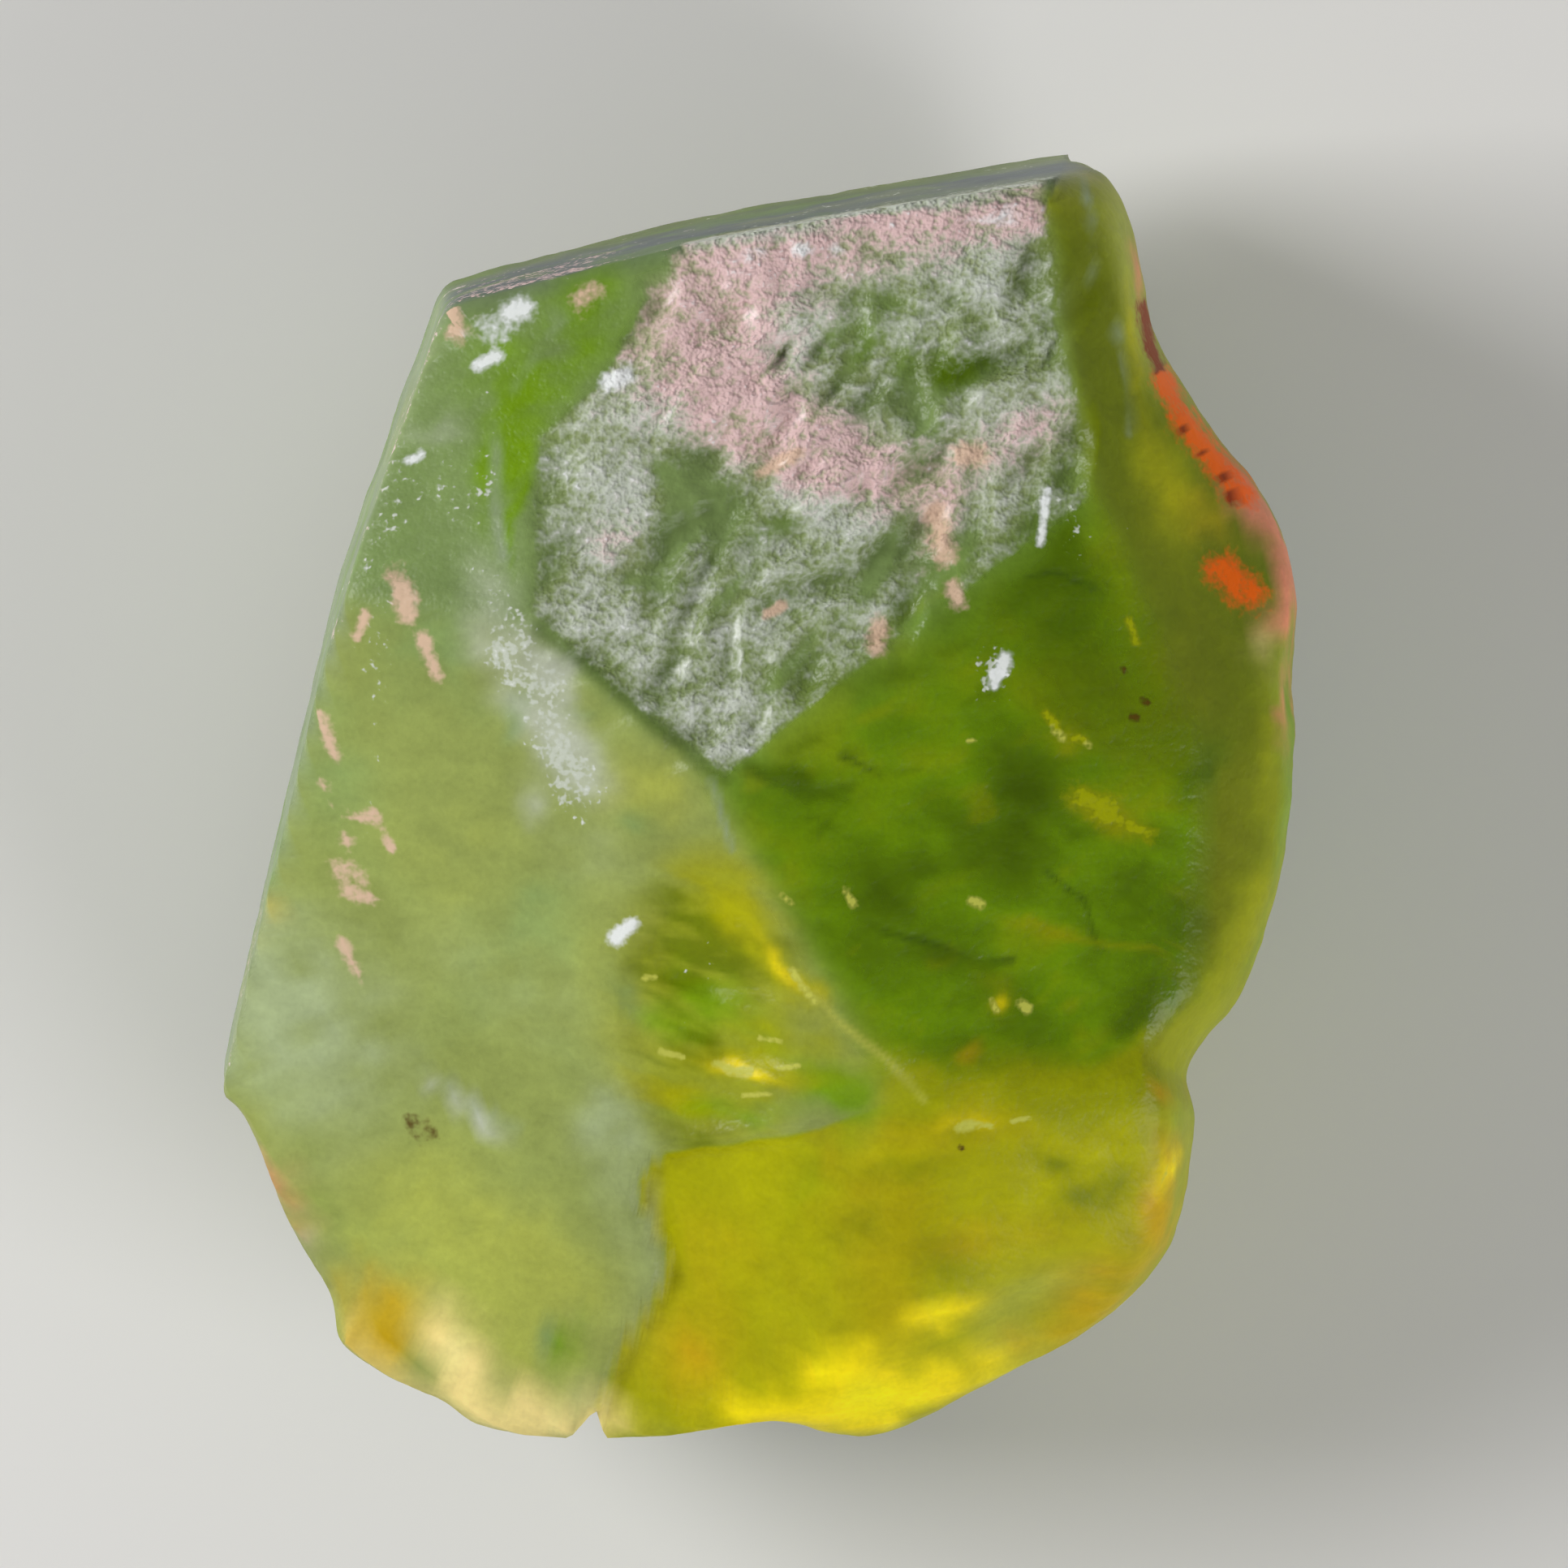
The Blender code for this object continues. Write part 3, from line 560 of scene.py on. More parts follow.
def body_points(direction):
    """Places on the plain stone: the nearest of the pillow, the flat faces and the scoops.

    Each front face is sunk by slow noise, so that the ridges between them wander a little.
    The nearness of each is one over its distance along the direction. The sum of their high
    powers, to the power of minus one over the same number, is the least distance with its
    edges rounded off a little. Each one's part in that sum says how much it is the surface.
    """
    centre = np.array((0.0, 0.0, EQUATOR_HEIGHT))
    heading = np.arctan2(direction[:, 1], direction[:, 0])
    flat = np.hypot(direction[:, 0], direction[:, 1]) / outline_reach(heading)
    upright = np.abs(direction[:, 2]) / PILLOW_HALF_DEPTH
    nearness = [(flat ** PILLOW_EXPONENT + upright ** PILLOW_EXPONENT) ** (1.0 / PILLOW_EXPONENT)]
    for index, (point, slope) in enumerate(FRONT_FACES):
        wave = FRONT_WAVES[index] * (1.0 + fractal(direction, 0.16, 91 + index, 3))
        nearness.append(plane_nearness(direction, centre, point, sloped(slope)) * (1.0 + wave / WAVE_REACH))
    for turn, tip, point in SIDE_FACES:
        nearness.append(plane_nearness(direction, centre, point, headed(turn, tip)))
    for place, radii, turn in SCOOPS:
        nearness.append(scoop_nearness(direction, centre, place, radii, turn))
    stack = np.array(nearness)
    top = stack.max(0)
    powers = (stack / top) ** EDGE_SHARPNESS
    total = powers.sum(0)
    reach = 1.0 / (top * total ** (1.0 / EDGE_SHARPNESS))
    return centre + direction * reach[:, None], powers / total


def height(place, face):
    """The height of a front face over each place."""
    point, slope = face
    return point[2] + slope[0] * (place[:, 0] - point[0]) + slope[1] * (place[:, 1] - point[1])


def smoothstep(low, high, value):
    """Zero below low, one above high, and 3t^2 - 2t^3 between."""
    t = np.clip((value - low) / (high - low), 0.0, 1.0)
    return t * t * (3.0 - 2.0 * t)


def lattice_noise(place, seed):
    """Smooth values from -1 to 1: hashed numbers on a unit lattice, blended by smoothsteps."""
    cell = np.floor(place).astype(np.int64)
    part = place - cell
    blend = part * part * (3.0 - 2.0 * part)
    total = np.zeros(len(place))
    for corner in range(8):
        step = np.array((corner & 1, corner >> 1 & 1, corner >> 2 & 1))
        key = (cell + step) @ HASH_AXES + seed * HASH_SEED
        for shift, factor in HASH_ROUNDS:
            key = (key ^ (key >> shift)) * factor & 0xFFFFFFFF
        weight = np.where(step, blend, 1.0 - blend).prod(1)
        total += weight * ((key ^ (key >> 16)) & 0xFFFF)
    return total / 32767.5 - 1.0


def fractal(place, size, seed, octaves=4):
    """Noise at a size and its halves, quarters and so on, each half as strong."""
    total, strength = 0.0, 0.0
    for octave in range(octaves):
        share = 0.5 ** octave
        total = total + share * lattice_noise(place * (2.0 ** octave / size), seed + octave)
        strength += share
    return total / strength


def raised(place, size, seed, octaves=4):
    """The same noise from 0 to 1."""
    return 0.5 + 0.5 * fractal(place, size, seed, octaves)


def headed_from(place, heading, centre=(0.0, 0.0)):
    """Distances from a centre along and across a heading in degrees, in the XY plane."""
    turn = math.radians(heading)
    away = place[:, :2] - centre
    return away @ (math.cos(turn), math.sin(turn)), away @ (-math.sin(turn), math.cos(turn))


def turned(place, heading, stretch):
    """Places measured along and across a heading, with the length along it divided by a stretch."""
    along, across = headed_from(place, heading)
    return np.stack((along / stretch, across, place[:, 2]), 1)


def shell_reach(place):
    """Distance from the middle of the shell hollow in its radii, so that it is 1 at the rim."""
    return np.hypot(*((place[:, :2] - SHELL_CENTRE) / SHELL_RADII).T)


def line_distance(place, start, end):
    """Distance from the straight line between two points in the XY plane."""
    away, run = place[:, :2] - start, np.subtract(end, start)
    part = np.clip(away @ run / (run @ run), 0.0, 1.0)
    return np.hypot(*(away - part[:, None] * run).T)


def depth_inside(place, corners):
    """Signed distance from a polygon's edge in the XY plane, positive inside it."""
    x, y = place[:, 0], place[:, 1]
    nearest = np.full(len(place), np.inf)
    inside = np.zeros(len(place), bool)
    for start, end in zip(corners, corners[1:] + corners[:1]):
        nearest = np.minimum(nearest, line_distance(place, start, end))
        (x0, y0), (x1, y1) = start, end
        if y1 != y0:
            inside ^= ((y0 > y) != (y1 > y)) & (x < x0 + (y - y0) * (x1 - x0) / (y1 - y0))
    return np.where(inside, nearest, -nearest)


def gouges():
    """The place, heading, length, width and depth of each etch gouge, as in the solid."""
    draw = random.Random(GOUGE_SEED)
    (left, right), (low, high) = GOUGE_REGION
    golden = (math.sqrt(5.0) - 1.0) / 2.0
    for index in range(GOUGE_COUNT):
        x = left + (right - left) * ((index * golden) % 1.0)
        y = low + (high - low) * (index + 0.5) / GOUGE_COUNT
        turn = GOUGE_HEADING + draw.uniform(-GOUGE_SPREAD, GOUGE_SPREAD)
        sizes = [draw.uniform(*span) for span in (GOUGE_LENGTH, GOUGE_WIDTH, GOUGE_DEPTH)]
        place = np.array(((x, y, 0.0),))
        others = [height(place, face)[0]
                  for face in (LEFT_FACE, RIGHT_FACE, UPPER_LEFT_FACE, UPPER_RIGHT_FACE)]
        if height(place, ETCHED_FACE)[0] + GOUGE_MARGIN < min(others):
            yield (x, y, turn, *sizes)


def etch_pattern(place):
    """Lumps and grooves of the etched face, from -1 in a groove to 1 on a lump.

    Cloudy noise and ridged noise, one minus twice its size, are drawn out along the gouges, at
    places that are first shifted by a coarser noise so that no groove runs straight.
    """
    shift = np.stack([fractal(place, 1.6, seed, 2) for seed in (81, 83, 85)], 1)
    along = turned(place + 0.5 * shift, GOUGE_HEADING, 1.9)
    lumps = fractal(along, 0.9, 3, 4)
    ridges = 1.0 - 2.0 * np.abs(fractal(along, 0.7, 14, 3)) / 0.6
    return np.clip(1.3 * lumps + 0.35 * ridges, -1.0, 1.0)


def gouge_depth(place):
    """Depth of the deepest gouge at each place: each has an elliptic plan and a round floor."""
    depth = np.zeros(len(place))
    for x, y, turn, length, width, deepest in gouges():
        along, across = headed_from(place, turn, (x, y))
        depth = np.maximum(depth, deepest * (1.0 - (along / length) ** 2 - (across / width) ** 2))
    return depth


def shell_depth(place):
    """Depth of the shell hollow, with ripples on its floor round the point where it was struck."""
    inside = np.clip(1.0 - shell_reach(place) ** 2, 0.0, None)
    from_strike = np.hypot(*(place[:, :2] - SHELL_STRIKE).T) + 0.3 * fractal(place, 1.1, 71, 3)
    ripple = np.cos(2.0 * math.pi * from_strike / SHELL_RIPPLE)
    fine = fractal(turned(place, SHELL_GRAIN_HEADING, 3.5), 0.5, 73, 3)
    return SHELL_DEPTH * inside * (0.8 + 0.2 * ripple + 0.35 * fine)


def front_relief(place, etched, etch):
    """How far the front is sunk: gouges, shell hollow, etching, dark grooves and slow waves."""
    grooved = smoothstep(0.0, 1.0, stroke_nearness(place, LINES["deep"]))
    waves = WAVE_DEPTH * raised(place, 2.6, 21, 3)
    fine_waves = FINE_WAVE_DEPTH * raised(turned(place, -50.0, 2.0), 0.8, 23, 3)
    return (gouge_depth(place) + shell_depth(place) + etched * ETCH_HALF_DEPTH * (1.0 - etch)
            + (1.0 - etched) * (waves + fine_waves) + GROOVE_DEPTH * grooved)


def ledge_relief(place, surface_height, ledge_depth):
    """How far the broken side of the ledge is sunk below the height that it has so far.

    A height h above the ledge's floor is sunk by half of h + sqrt(h^2 + s^2) - s, which is near
    h well above the floor and near zero below it, with the corner rounded over the softness s.
    """
    narrow, wide = LEDGE_SLOPE
    slope = narrow + (wide - narrow) * smoothstep(0.6, 2.6, place[:, 0])
    floor = height(place, LEFT_FACE) - LEDGE_DROP - 0.1 * raised(place, 1.6, 33, 3)
    above = surface_height - floor
    sunk = 0.5 * (above + np.sqrt(above ** 2 + LEDGE_SOFTNESS ** 2) - LEDGE_SOFTNESS)
    return smoothstep(-slope, slope, ledge_depth) * sunk


def side_relief(place):
    """How far the sides are sunk: slow and fine waves, and upright grooves, none at the foot."""
    waves = SIDE_WAVE_DEPTH * raised(place, 2.2, 41) + SIDE_FINE_WAVE_DEPTH * raised(place, 0.6, 43)
    grooves = SIDE_GROOVE_DEPTH * raised(place * (1.0, 1.0, 0.12), 0.55, 45, 3)
    return (waves + grooves) * smoothstep(0.0, 0.6, place[:, 2])


def stone_surface(palette):
    """Points of the finished surface in millimetres, its quads, and the fields of its looks."""
    direction, quads = box_lattice()
    place, shares = body_points(direction)
    front = shares[FRONT].sum(0)
    frost_depth = depth_inside(place, FROST_EDGE) + 0.12 * fractal(place, 0.9, 5)
    ledge_depth = depth_inside(place, LEDGE) + 0.07 * fractal(place, 0.5, 31, 2)
    etched = smoothstep(-0.15, 0.35, frost_depth) * front
    etch = etch_pattern(place)
    sunk = place.copy()
    sunk[:, 2] -= front * front_relief(place, etched, etch)
    sunk[:, 2] -= front * ledge_relief(place, sunk[:, 2], ledge_depth)
    sunk -= direction * (side_relief(place) * (1.0 - front))[:, None]
    return sunk, quads, surface_fields(place, shares, etch, frost_depth, ledge_depth, palette)


def patch_strength(place, patches):
    """The sum of each patch's strength times exp(-r^2), with r in the patch's turned radii."""
    total = np.zeros(len(place))
    for x, y, length, width, turn, strength in patches:
        along, across = headed_from(place, turn, (x, y))
        total += strength * np.exp(-(along / length) ** 2 - (across / width) ** 2)
    return total


def laid(base, colour, amount):
    """Colours with another laid over them, by an amount from 0 to 1 at each point."""
    amount = np.clip(amount, 0.0, 1.0)[:, None]
    return base * (1.0 - amount) + np.array(colour) * amount


def stroke_nearness(place, strokes):
    """One on the nearest stroke's line, zero at its half width and NO_MARK at four times that."""
    nearest = np.full(len(place), NO_MARK)
    for half_width, *run in strokes:
        points = np.reshape(run, (-1, 2))
        for start, end in zip(points, points[1:]):
            nearest = np.maximum(nearest, 1.0 - line_distance(place, start, end) / half_width)
    return nearest


class Drift:
    """Noise that the looks share: clouds, streaks and wisps from about -1 to 1, and shifted places."""

    def __init__(self, place):
        self.clouds = 1.6 * fractal(place, 2.4, 105, 4)
        self.streaks = 1.6 * fractal(turned(place, -38.0, 2.2), 0.9, 107, 3)
        self.wisps = 1.6 * fractal(turned(place, 24.0, 1.8), 0.5, 115, 3)
        shift = np.stack([fractal(place, 1.2, seed, 4) for seed in (101, 103)], 1)
        self.wandering = place[:, :2] + PATCH_SHIFT * shift
        self.trembling = place[:, :2] + LINE_SHIFT * shift


def zone_looks(place, shares, drift, broken, ledge_depth, upper, palette):
    """Colour and cover of each surface of the stone, with the slow changes that noise gives them.

    The surfaces' own colours and covers are mixed by their shares. Then other colours of the
    palette are laid over them in turn, each by an amount from 0 to 1.
    """
    x, y, z = place.T
    clouds, streaks, wisps = drift.clouds, drift.streaks, drift.wisps
    body, left, right = shares[BODY], shares[LEFT], shares[RIGHT]
    front, top = shares[FRONT].sum(0), shares[TOP].sum(0)
    behind, whole = 1.0 - front, 1.0 - broken
    slab = left * whole + shares[LIP_SCOOP]
    right_rim = smoothstep(7.5, 9.0, x) * smoothstep(-4.0, -2.0, y)
    lower_end = smoothstep(-4.4, -6.6, y + 0.9 * clouds + 0.10 * (x - 4.5) ** 2)
    sunken = broken * front * np.maximum(smoothstep(2.2, 0.2, drift.wandering[:, 0]), lower_end)
    shell = smoothstep(1.3, 0.7, shell_reach(place)) * left * whole
    sheared = 1.8 * fractal(turned(place, SHELL_GRAIN_HEADING, 4.0), 0.7, 111, 4)
    lip = smoothstep(0.9, 0.0, np.abs(ledge_depth + 0.2)) * smoothstep(-1.2, -2.2, x)
    layers = (
        ("haze", body * smoothstep(2.0, -3.0, x)),
        ("leaf", 0.8 * body * right_rim),
        ("sage", 0.8 * top * smoothstep(6.5, 3.5, z + 0.8 * clouds)),
        ("leaf", broken * left),
        ("gold", sunken + lower_end * (right + body) * upper),
        ("moss", (0.15 - 0.8 * clouds - 0.5 * streaks) * right * (1.0 - lower_end)),
        ("lime", 0.4 * right * smoothstep(0.0, 0.8, clouds + 0.5 * streaks)),
        ("fern", 0.25 * slab * smoothstep(0.0, 1.0, 0.5 * clouds + 0.6 * streaks)),
        ("amber", 0.3 * broken * front * smoothstep(0.0, 0.8, -clouds)),
        ("lime", 0.4 * right * smoothstep(0.3, 1.0, wisps)),
        ("moss", 0.4 * right * smoothstep(0.3, 1.0, -wisps)),
        ("haze", 0.45 * behind * smoothstep(-0.2, 0.9, clouds)),
        ("leaf", 0.45 * behind * smoothstep(0.0, 1.0, streaks - clouds)),
        ("lime", 0.8 * shell),
        ("bronze", shell * smoothstep(0.0, 0.5, -sheared)),
        ("gold", shell * smoothstep(0.1, 0.6, sheared)),
        ("mist", lip * front * whole * (0.3 + 0.3 * streaks)),
    )
    tint = shares.T @ np.array([palette[name] for name in ZONE_COLOURS])
    for name, amount in layers:
        tint = laid(tint, palette[name], amount)

    wandering_x, wandering_y = drift.wandering.T
    cover = shares.T @ np.array(ZONE_COVER)
    cover -= 0.1 * slab * smoothstep(-2.8, -1.0, wandering_x - 0.3 * wandering_y)
    wall = smoothstep(0.45, 0.1, np.abs(ledge_depth)) * smoothstep(1.8, 0.6, x)
    return tint, np.maximum(cover, np.maximum(WALL_COVER * wall * front, SHELL_COVER * shell))


def front_details(place, tint, drift, upper, palette):
    """The colours with the front's soft patches and fine lines laid over them, painted glints and
    reflections among them, and a faint mottle.
    """
    for name, patches in PATCHES.items():
        amount = patch_strength(drift.wandering, patches) * (1.0 + 0.35 * (drift.streaks + drift.wisps))
        tint = laid(tint, palette[name], smoothstep(0.05, 0.95, amount) * upper)
    for name, strokes in LINES.items():
        line = smoothstep(-1.4, 1.0, stroke_nearness(drift.trembling, strokes))
        tint = laid(tint, palette[name], line * (0.5 + 0.6 * drift.streaks) * upper)
    return tint * (1.0 + 0.10 * drift.clouds + 0.06 * (drift.streaks + drift.wisps))[:, None]


def nearest_mark(place, tint, palette):
    """Nearness of the nearest small mark at each place, and its colour."""
    mark, mark_tint = np.full(len(place), NO_MARK), tint
    for name, strokes in STROKES.items():
        nearness = stroke_nearness(place, strokes)
        mark_tint = np.where((nearness > mark)[:, None], palette[name], mark_tint)
        mark = np.maximum(mark, nearness)
    return mark, mark_tint


def surface_fields(place, shares, etch, frost_depth, ledge_depth, palette):
    """Colours and values at each point, from which the material makes its finishes.

    Marks and patches stay on the front and on the rounded rim above the widest part. A mark is
    above zero inside its edge, and the point carries the colour of the nearest one.
    """
    x, z = place[:, 0], place[:, 2]
    drift = Drift(place)
    front, steep, top = shares[FRONT].sum(0), shares[STEEP].sum(0), shares[TOP].sum(0)
    upper = np.clip(front + (1.0 - front - steep) * smoothstep(5.6, 7.4, z), 0.0, 1.0)
    broken = smoothstep(-0.05, 0.05, ledge_depth)
    tint, cover = zone_looks(place, shares, drift, broken, ledge_depth, upper, palette)
    tint = front_details(place, tint, drift, upper, palette)

    near_crust = (shares[ETCHED] + 0.5 * (shares[RIGHT] + shares[UPPER_LEFT])
                  + top * smoothstep(9.6, 10.8, z))
    crusted = smoothstep(-0.08, 0.12, frost_depth) * near_crust
    frost = crusted * (0.44 + patch_strength(place, CRUST_PATCHES) + 0.42 * etch)
    pink = patch_strength(place, PINK_PATCHES)
    under_crust = 0.8 * palette["shade"] + 0.2 * palette["rose"] * np.clip(pink, 0.0, 1.0)[:, None]
    tint = laid(tint, under_crust, 0.92 * smoothstep(0.1, 0.6, frost))
    # Painted shade and light: the crust darker in the etch grooves and lighter on its lumps
    tint *= (1.0 + 0.22 * (etch - 0.1) * crusted)[:, None]
    cover = np.maximum(cover, CRUST_COVER * smoothstep(0.1, 0.5, frost))

    top_left = shares[TOP.start] * smoothstep(-1.0, -4.0, x) * smoothstep(5.0, 8.0, z)
    steep_dust = 0.35 + 0.35 * drift.clouds + 0.4 * smoothstep(8.5, 11.0, z) + 0.5 * top_left
    # Dust, with painted glints among it on the left face
    dust = patch_strength(drift.wandering, DUST_AND_GLINT_PATCHES) * upper + steep * steep_dust
    mark, mark_tint = nearest_mark(place, tint, palette)
    shown = {"tint": tint, "cover": cover, "frost": frost,
             "pink": pink * upper + steep * smoothstep(0.0, -3.0, x), "dust": dust}
    fields = {name: np.clip(values, 0.0, 1.0) for name, values in shown.items()}
    return fields | {"mark": np.where(upper > 0.5, mark, NO_MARK), "mark_tint": mark_tint}


def maths(operation, reflected=False):
    """A method that adds a Math node of a term and another value, in turned order if reflected."""
    def method(self, other):
        values = (other, self) if reflected else (self, other)
        return self.shader.node("ShaderNodeMath", {"operation": operation}, values)
    return method


class Term:
    """A value or colour in a shader tree, used in Python expressions that add nodes."""

    def __init__(self, shader, socket):
        self.shader = shader
        self.socket = socket

    __add__ = maths("ADD")
    __radd__ = maths("ADD", reflected=True)
    __sub__ = maths("SUBTRACT")
    __rsub__ = maths("SUBTRACT", reflected=True)
    __mul__ = maths("MULTIPLY")
    __rmul__ = maths("MULTIPLY", reflected=True)
    at_most = maths("MINIMUM")
    at_least = maths("MAXIMUM")

    def above(self, low, high):
        """Zero below low, one above high, smooth between."""
        return self.shader.node("ShaderNodeMapRange", {"interpolation_type": "SMOOTHSTEP"},
                                {"Value": self, "From Min": low, "From Max": high})


class Shader:
    """The tree of a material or a world: adds nodes of any type, sets them and links them."""

    def __init__(self, owner):
        owner.use_nodes = True
        self.owner = owner
        self.tree = owner.node_tree
        self.tree.nodes.clear()

    def node(self, kind, settings=None, values=(), output=0):
        """Adds a node, applies its settings, then fills its sockets by order or by name."""
        made = self.tree.nodes.new(kind)
        for key, value in (settings or {}).items():
            if key == "stops":
                for stop, (position, colour) in zip(made.color_ramp.elements, value):
                    stop.position, stop.color = position, colour
            else:
                setattr(made, key, value)
        pairs = values.items() if isinstance(values, dict) else enumerate(values)
        for key, value in pairs:
            socket = made.inputs[key]
            if isinstance(value, Term):
                self.tree.links.new(value.socket, socket)
            elif socket.type == "RGBA" and len(value) == 3:
                socket.default_value = (*value, 1.0)
            else:
                socket.default_value = value
        return Term(self, made.outputs[output]) if made.outputs else None

    def field(self, name, output="Fac"):
        """A value that the mesh carries, or a colour with Color as the output."""
        return self.node("ShaderNodeAttribute", {"attribute_name": name}, output=output)

    def noise(self, place, scale, detail=3.0, roughness=0.55):
        """Cloudy values from 0 to 1 over a place."""
        return self.node("ShaderNodeTexNoise", {"noise_dimensions": "3D"},
                         {"Vector": place, "Scale": scale, "Detail": detail, "Roughness": roughness})

    def blend(self, amount, first, second, how="MIX"):
        """A colour between two, or the first one blended with the second in another way."""
        return self.node("ShaderNodeMix", {"data_type": "RGBA", "blend_type": how},
                         {0: amount, 6: first, 7: second}, output=2)


def peridot_material(settings):
    """Clear crystal below, with haze, crust and marks mixed over it by the mesh's fields.

    Two noises, flakes drawn out along the gouges and finer grain, break up the edge of every field.
    Between the crust's grains they paint shade into its hollows and white glints onto its raised grains.
    """
    shader = Shader(bpy.data.materials.new("peridot"))
    place = shader.node("ShaderNodeTexCoord", output="Object")
    streaked = shader.node("ShaderNodeMapping", {}, {
        "Vector": place, "Rotation": (0.0, 0.0, math.radians(-GOUGE_HEADING)), "Scale": FLAKE_STRETCH})
    flakes = (shader.noise(streaked, FLAKE_SCALE, 2.0, 0.62) - 0.5) * NODE_NOISE_SWING
    grain = (shader.noise(place, GRAIN_SCALE, 1.0, 0.6) - 0.5) * NODE_NOISE_SWING
    frost, cover, tint = shader.field("frost"), shader.field("cover"), shader.field("tint", "Color")
    crusted = (frost + flakes * 0.5 + grain * 0.3).above(0.12, 1.0) * frost.above(0.08, 0.25)
    # The dust field also holds painted glints on the left face
    dust_and_glints = (shader.field("dust") + flakes * 0.4 + grain * 0.6).above(0.75, 1.0)
    pink = (shader.field("pink") + flakes * 0.4 + grain * 0.3).above(0.25, 1.0)
    marked = (shader.field("mark") + flakes * 0.8 + grain * 0.6).above(-0.8, 0.6) * 0.92

    # Painted shade in the low places of the grain and flake noise, which the bump also sinks, and painted
    # white glints on its high places
    between = (grain * 0.8 + flakes * 0.6).above(0.2, -0.8) * 0.6
    brightest = (grain * 0.8 + flakes * 0.5).above(0.35, 0.95) * 0.75
    powder = shader.blend(pink, settings.frost[:], settings.rose[:])
    powder = shader.blend(between, powder, settings.shade[:])
    powder = shader.blend(brightest, powder, settings.white_glint[:])
    mottle = flakes * 0.13 + grain * 0.08 + 1.0
    skin = shader.blend(1.0, tint, mottle, "MULTIPLY")
    skin = shader.blend(crusted.at_least(dust_and_glints * 0.85), skin, powder)
    skin = shader.blend(marked, skin, shader.field("mark_tint", "Color"))

    bump = shader.node("ShaderNodeBump", {}, {
        "Strength": 0.7, "Distance": BUMP_HEIGHT,
        "Height": (grain * 0.4 + flakes) * (frost * 0.8 + 0.1)})
    glass = shader.node("ShaderNodeBsdfPrincipled", {}, {
        "Base Color": shader.blend(0.3, (1.0, 1.0, 1.0), tint),
        "Roughness": cover * 0.35 + frost * 0.2,
        "IOR": settings.ior, "Transmission Weight": 1.0, "Normal": bump})
    crust = shader.node("ShaderNodeBsdfPrincipled", {}, {
        "Base Color": skin, "Roughness": 0.5, "IOR": settings.ior, "Specular IOR Level": 0.05,
        "Coat Weight": crusted * 0.8, "Coat Roughness": 0.26, "Normal": bump})
    hidden = cover.at_least(crusted * 0.9).at_least(dust_and_glints).at_least(marked).at_most(MOST_HIDDEN)
    surface = shader.node("ShaderNodeMixShader", {}, {0: hidden, 1: glass, 2: crust})
    depth = shader.node("ShaderNodeVolumeAbsorption", {}, {
        "Color": settings.depth_colour[:], "Density": settings.absorption})
    shader.node("ShaderNodeOutputMaterial", {}, {"Surface": surface, "Volume": depth})
    return shader.owner


def floor_material(colour):
    """Pale matt floor with a faint mottle."""
    shader = Shader(bpy.data.materials.new("floor"))
    place = shader.node("ShaderNodeTexCoord", output="Object")
    mottle = shader.noise(place, FLOOR_MOTTLE_SCALE)
    paint = shader.blend(mottle, colour, tuple(channel * 0.97 for channel in colour))
    surface = shader.node("ShaderNodeBsdfPrincipled", {}, {"Base Color": paint, "Roughness": 0.7})
    shader.node("ShaderNodeOutputMaterial", {}, {"Surface": surface})
    return shader.owner


def studio_world(strength):
    """Soft light all around: pale from the sides and below, and darker overhead."""
    shader = Shader(bpy.data.worlds.new("studio"))
    direction = shader.node("ShaderNodeTexCoord", output="Generated")
    upward = shader.node("ShaderNodeSeparateXYZ", {}, (direction,), output="Z")
    stops = [(position, (shade, shade, shade, 1.0)) for position, shade in SKY_SHADES]
    sky = shader.node("ShaderNodeValToRGB", {"stops": stops}, (upward,), output="Color")
    light = shader.node("ShaderNodeBackground", {}, {"Color": sky, "Strength": strength})
    shader.node("ShaderNodeOutputWorld", {}, {"Surface": light})
    return shader.owner


def add_object(name, data):
    """Puts a new object with its data into the scene."""
    item = bpy.data.objects.new(name, data)
    bpy.context.scene.collection.objects.link(item)
    return item


def add_mesh(name, points, faces):
    """Puts arrays of points and quads into a new mesh object, with smooth faces."""
    data = bpy.data.meshes.new(name)
    data.vertices.add(len(points))
    data.vertices.foreach_set("co", points.astype(np.float32).ravel())
    data.loops.add(faces.size)
    data.loops.foreach_set("vertex_index", faces.astype(np.int32).ravel())
    data.polygons.add(len(faces))
    data.polygons.foreach_set("loop_start", np.arange(0, faces.size, 4, dtype=np.int32))
    data.update(calc_edges=True)
    data.validate()
    data.shade_smooth()
    return add_object(name, data)


class PERIDOT_OT_stone(Operator):
    """Build the peridot stone in place of its plain solid"""

    bl_idname = "peridot.stone"
    bl_label = "Stone"

    def execute(self, context):
        settings = context.scene.peridot_stone
        palette = {name: np.array(getattr(settings, name)[:]) for name in settings.__annotations__
                   if name not in ("ior", "absorption")}
        points, quads, fields = stone_surface(palette)
        low, high = (np.array(corner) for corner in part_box(NODE))
        points *= MM
        middle = (points.min(0) + points.max(0)) / 2.0
        points[:, :2] += (low + high)[:2] / 2.0 - middle[:2]
        points = np.clip(points, low, high)
        stone = add_mesh(PIECE, points, quads)
        for name, values in fields.items():
            kind, key = "FLOAT", "value"
            if values.ndim == 2:
                kind, key = "FLOAT_COLOR", "color"
                values = np.hstack((values, np.ones((len(values), 1))))
            layer = stone.data.attributes.new(name, kind, "POINT")
            layer.data.foreach_set(key, values.astype(np.float32).ravel())
        stone.data.materials.append(peridot_material(settings))
        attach(stone, "root")
        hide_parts(NODE)
        return {"FINISHED"}


def add_light(name, place, side, power):
    """A square soft light that looks at the stone."""
    lamp = bpy.data.lights.new(name, "AREA")
    lamp.size = side
    lamp.energy = power
    item = add_object(name, lamp)
    item.location = place
    item.rotation_euler = (Vector(STONE_MIDDLE) - Vector(place)).to_track_quat("-Z", "Y").to_euler()


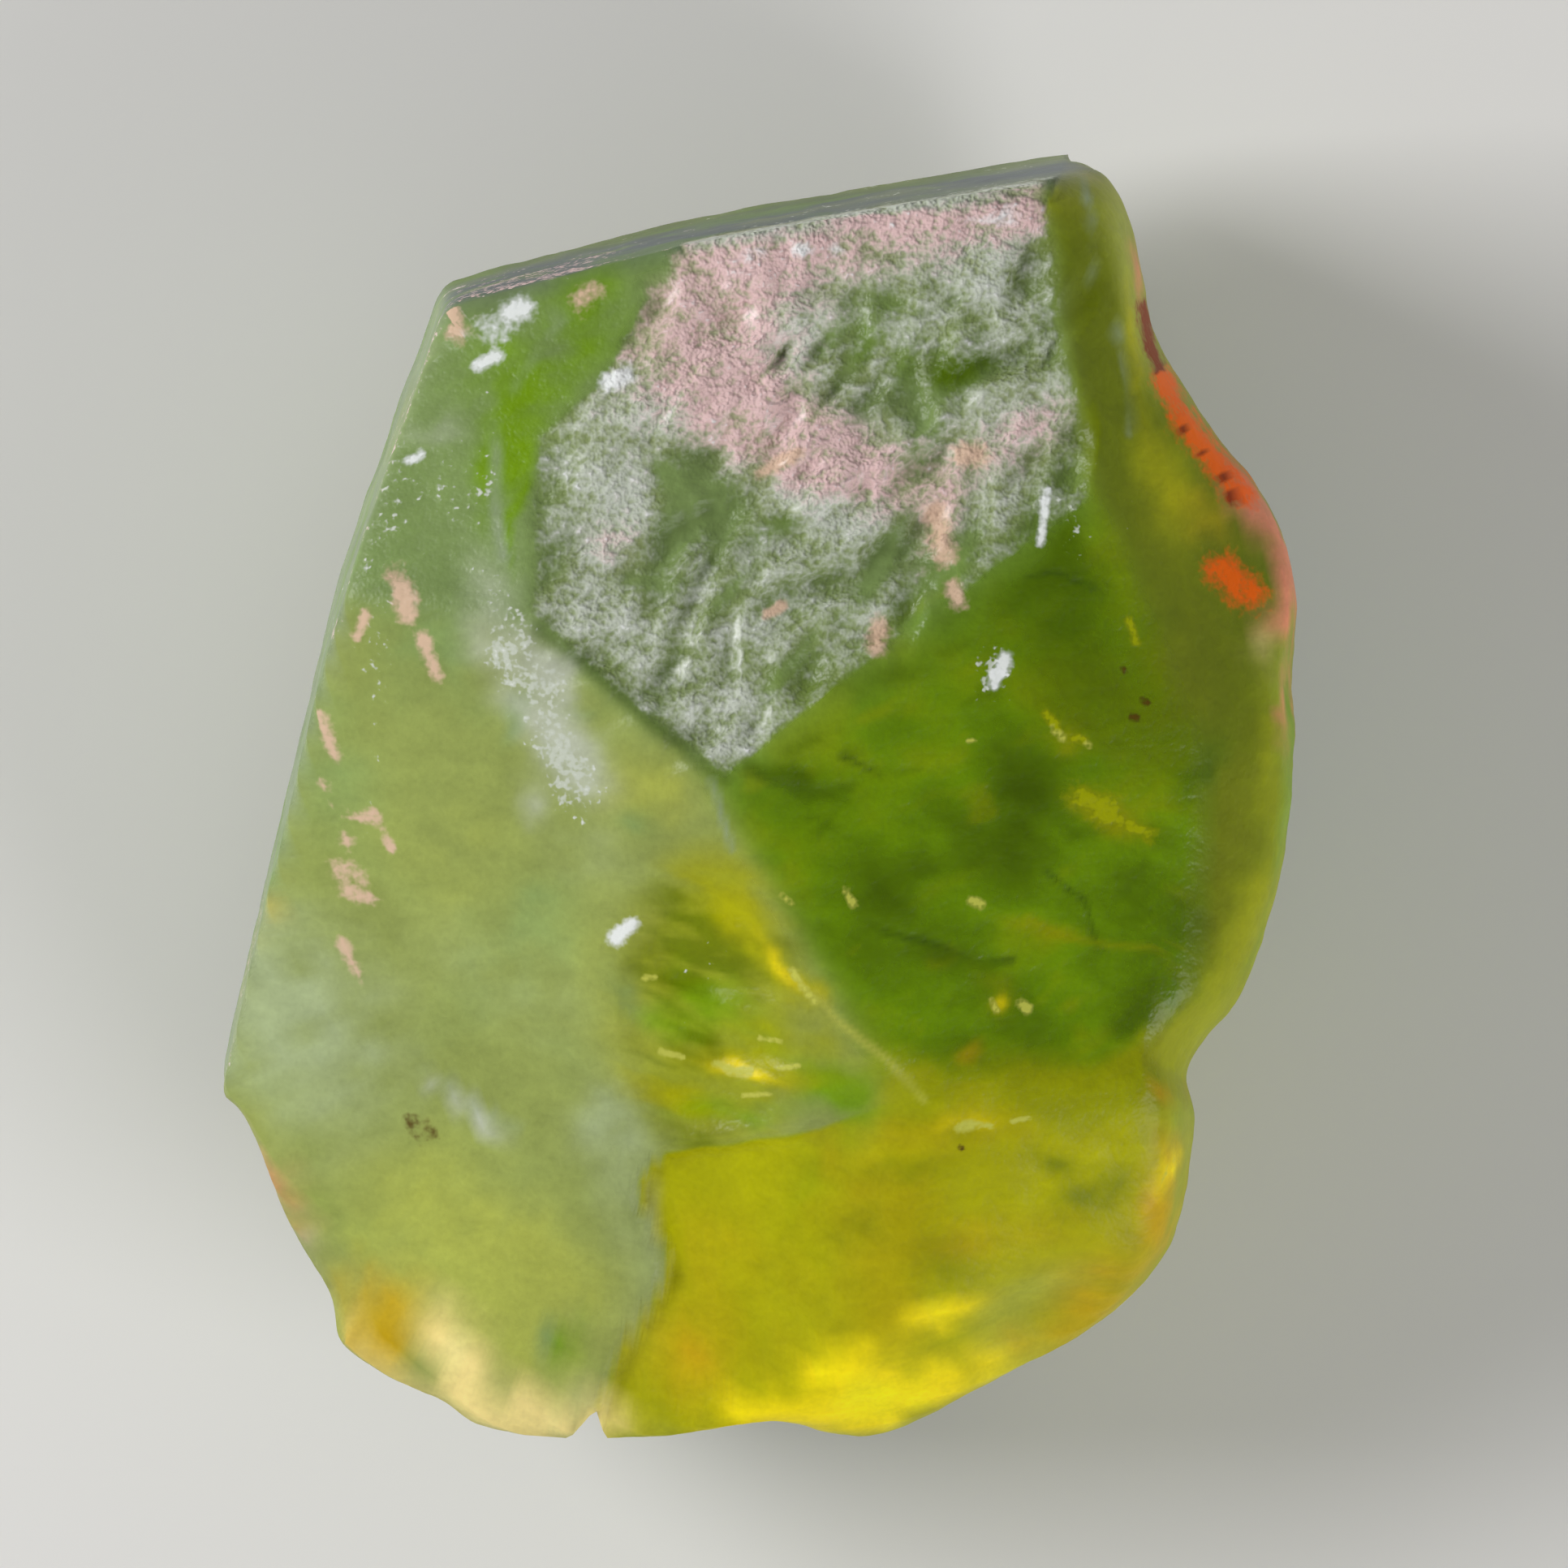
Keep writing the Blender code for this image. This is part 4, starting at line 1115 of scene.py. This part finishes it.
class PERIDOT_OT_stage(Operator):
    """Set the pale floor, the soft light and the camera straight above the stone"""

    bl_idname = "peridot.stage"
    bl_label = "Stage"

    def execute(self, context):
        settings, scene = context.scene.peridot_stage, context.scene
        corners = np.array(((-1.0, -1.0, 0.0), (1.0, -1.0, 0.0), (1.0, 1.0, 0.0), (-1.0, 1.0, 0.0)))
        corners = corners * FLOOR_REACH - np.array((0.0, 0.0, FLOOR_DROP))
        floor = add_mesh("floor", corners, np.array(((0, 1, 2, 3),)))
        floor.data.materials.append(floor_material(settings.floor_colour[:]))

        scene.world = studio_world(settings.sky_strength)
        add_light("key", KEY_PLACE, KEY_SIDE, settings.key_power)
        add_light("fill", FILL_PLACE, FILL_SIDE, settings.fill_power)

        lens = bpy.data.cameras.new("camera")
        lens.lens = settings.lens
        lens.sensor_width = SENSOR_WIDTH
        lens.clip_start = 0.01
        distance = settings.view_width * settings.lens / SENSOR_WIDTH
        scene.camera = add_object("camera", lens)
        scene.camera.location = Vector(PICTURE_MIDDLE) + Vector((0.0, 0.0, distance))
        scene.view_settings.view_transform = "Standard"
        paths = scene.cycles
        paths.max_bounces, paths.transmission_bounces = 8, 8
        paths.diffuse_bounces, paths.glossy_bounces = 3, 3
        paths.volume_bounces = 0
        paths.caustics_reflective = False
        return {"FINISHED"}


class PERIDOT_PT_sidebar(Panel):
    """Lists the pieces and their settings"""

    bl_idname = "PERIDOT_PT_sidebar"
    bl_label = "Peridot Crystal"
    bl_space_type = "VIEW_3D"
    bl_region_type = "UI"
    bl_category = "Peridot"

    def draw(self, context):
        for operator, settings in ((PERIDOT_OT_stone, context.scene.peridot_stone),
                                   (PERIDOT_OT_stage, context.scene.peridot_stage)):
            box = self.layout.box()
            box.operator(operator.bl_idname)
            for name in settings.__annotations__:
                box.prop(settings, name)


CLASSES = (StoneSettings, StageSettings, PERIDOT_OT_stone, PERIDOT_OT_stage, PERIDOT_PT_sidebar)


def register():
    for kind in CLASSES:
        bpy.utils.register_class(kind)
    bpy.types.Scene.peridot_stone = PointerProperty(type=StoneSettings)
    bpy.types.Scene.peridot_stage = PointerProperty(type=StageSettings)


def unregister():
    del bpy.types.Scene.peridot_stage
    del bpy.types.Scene.peridot_stone
    for kind in reversed(CLASSES):
        bpy.utils.unregister_class(kind)


def main():
    register()
    bpy.ops.peridot.stone()
    bpy.ops.peridot.stage()


if __name__ == "__main__":
    main()
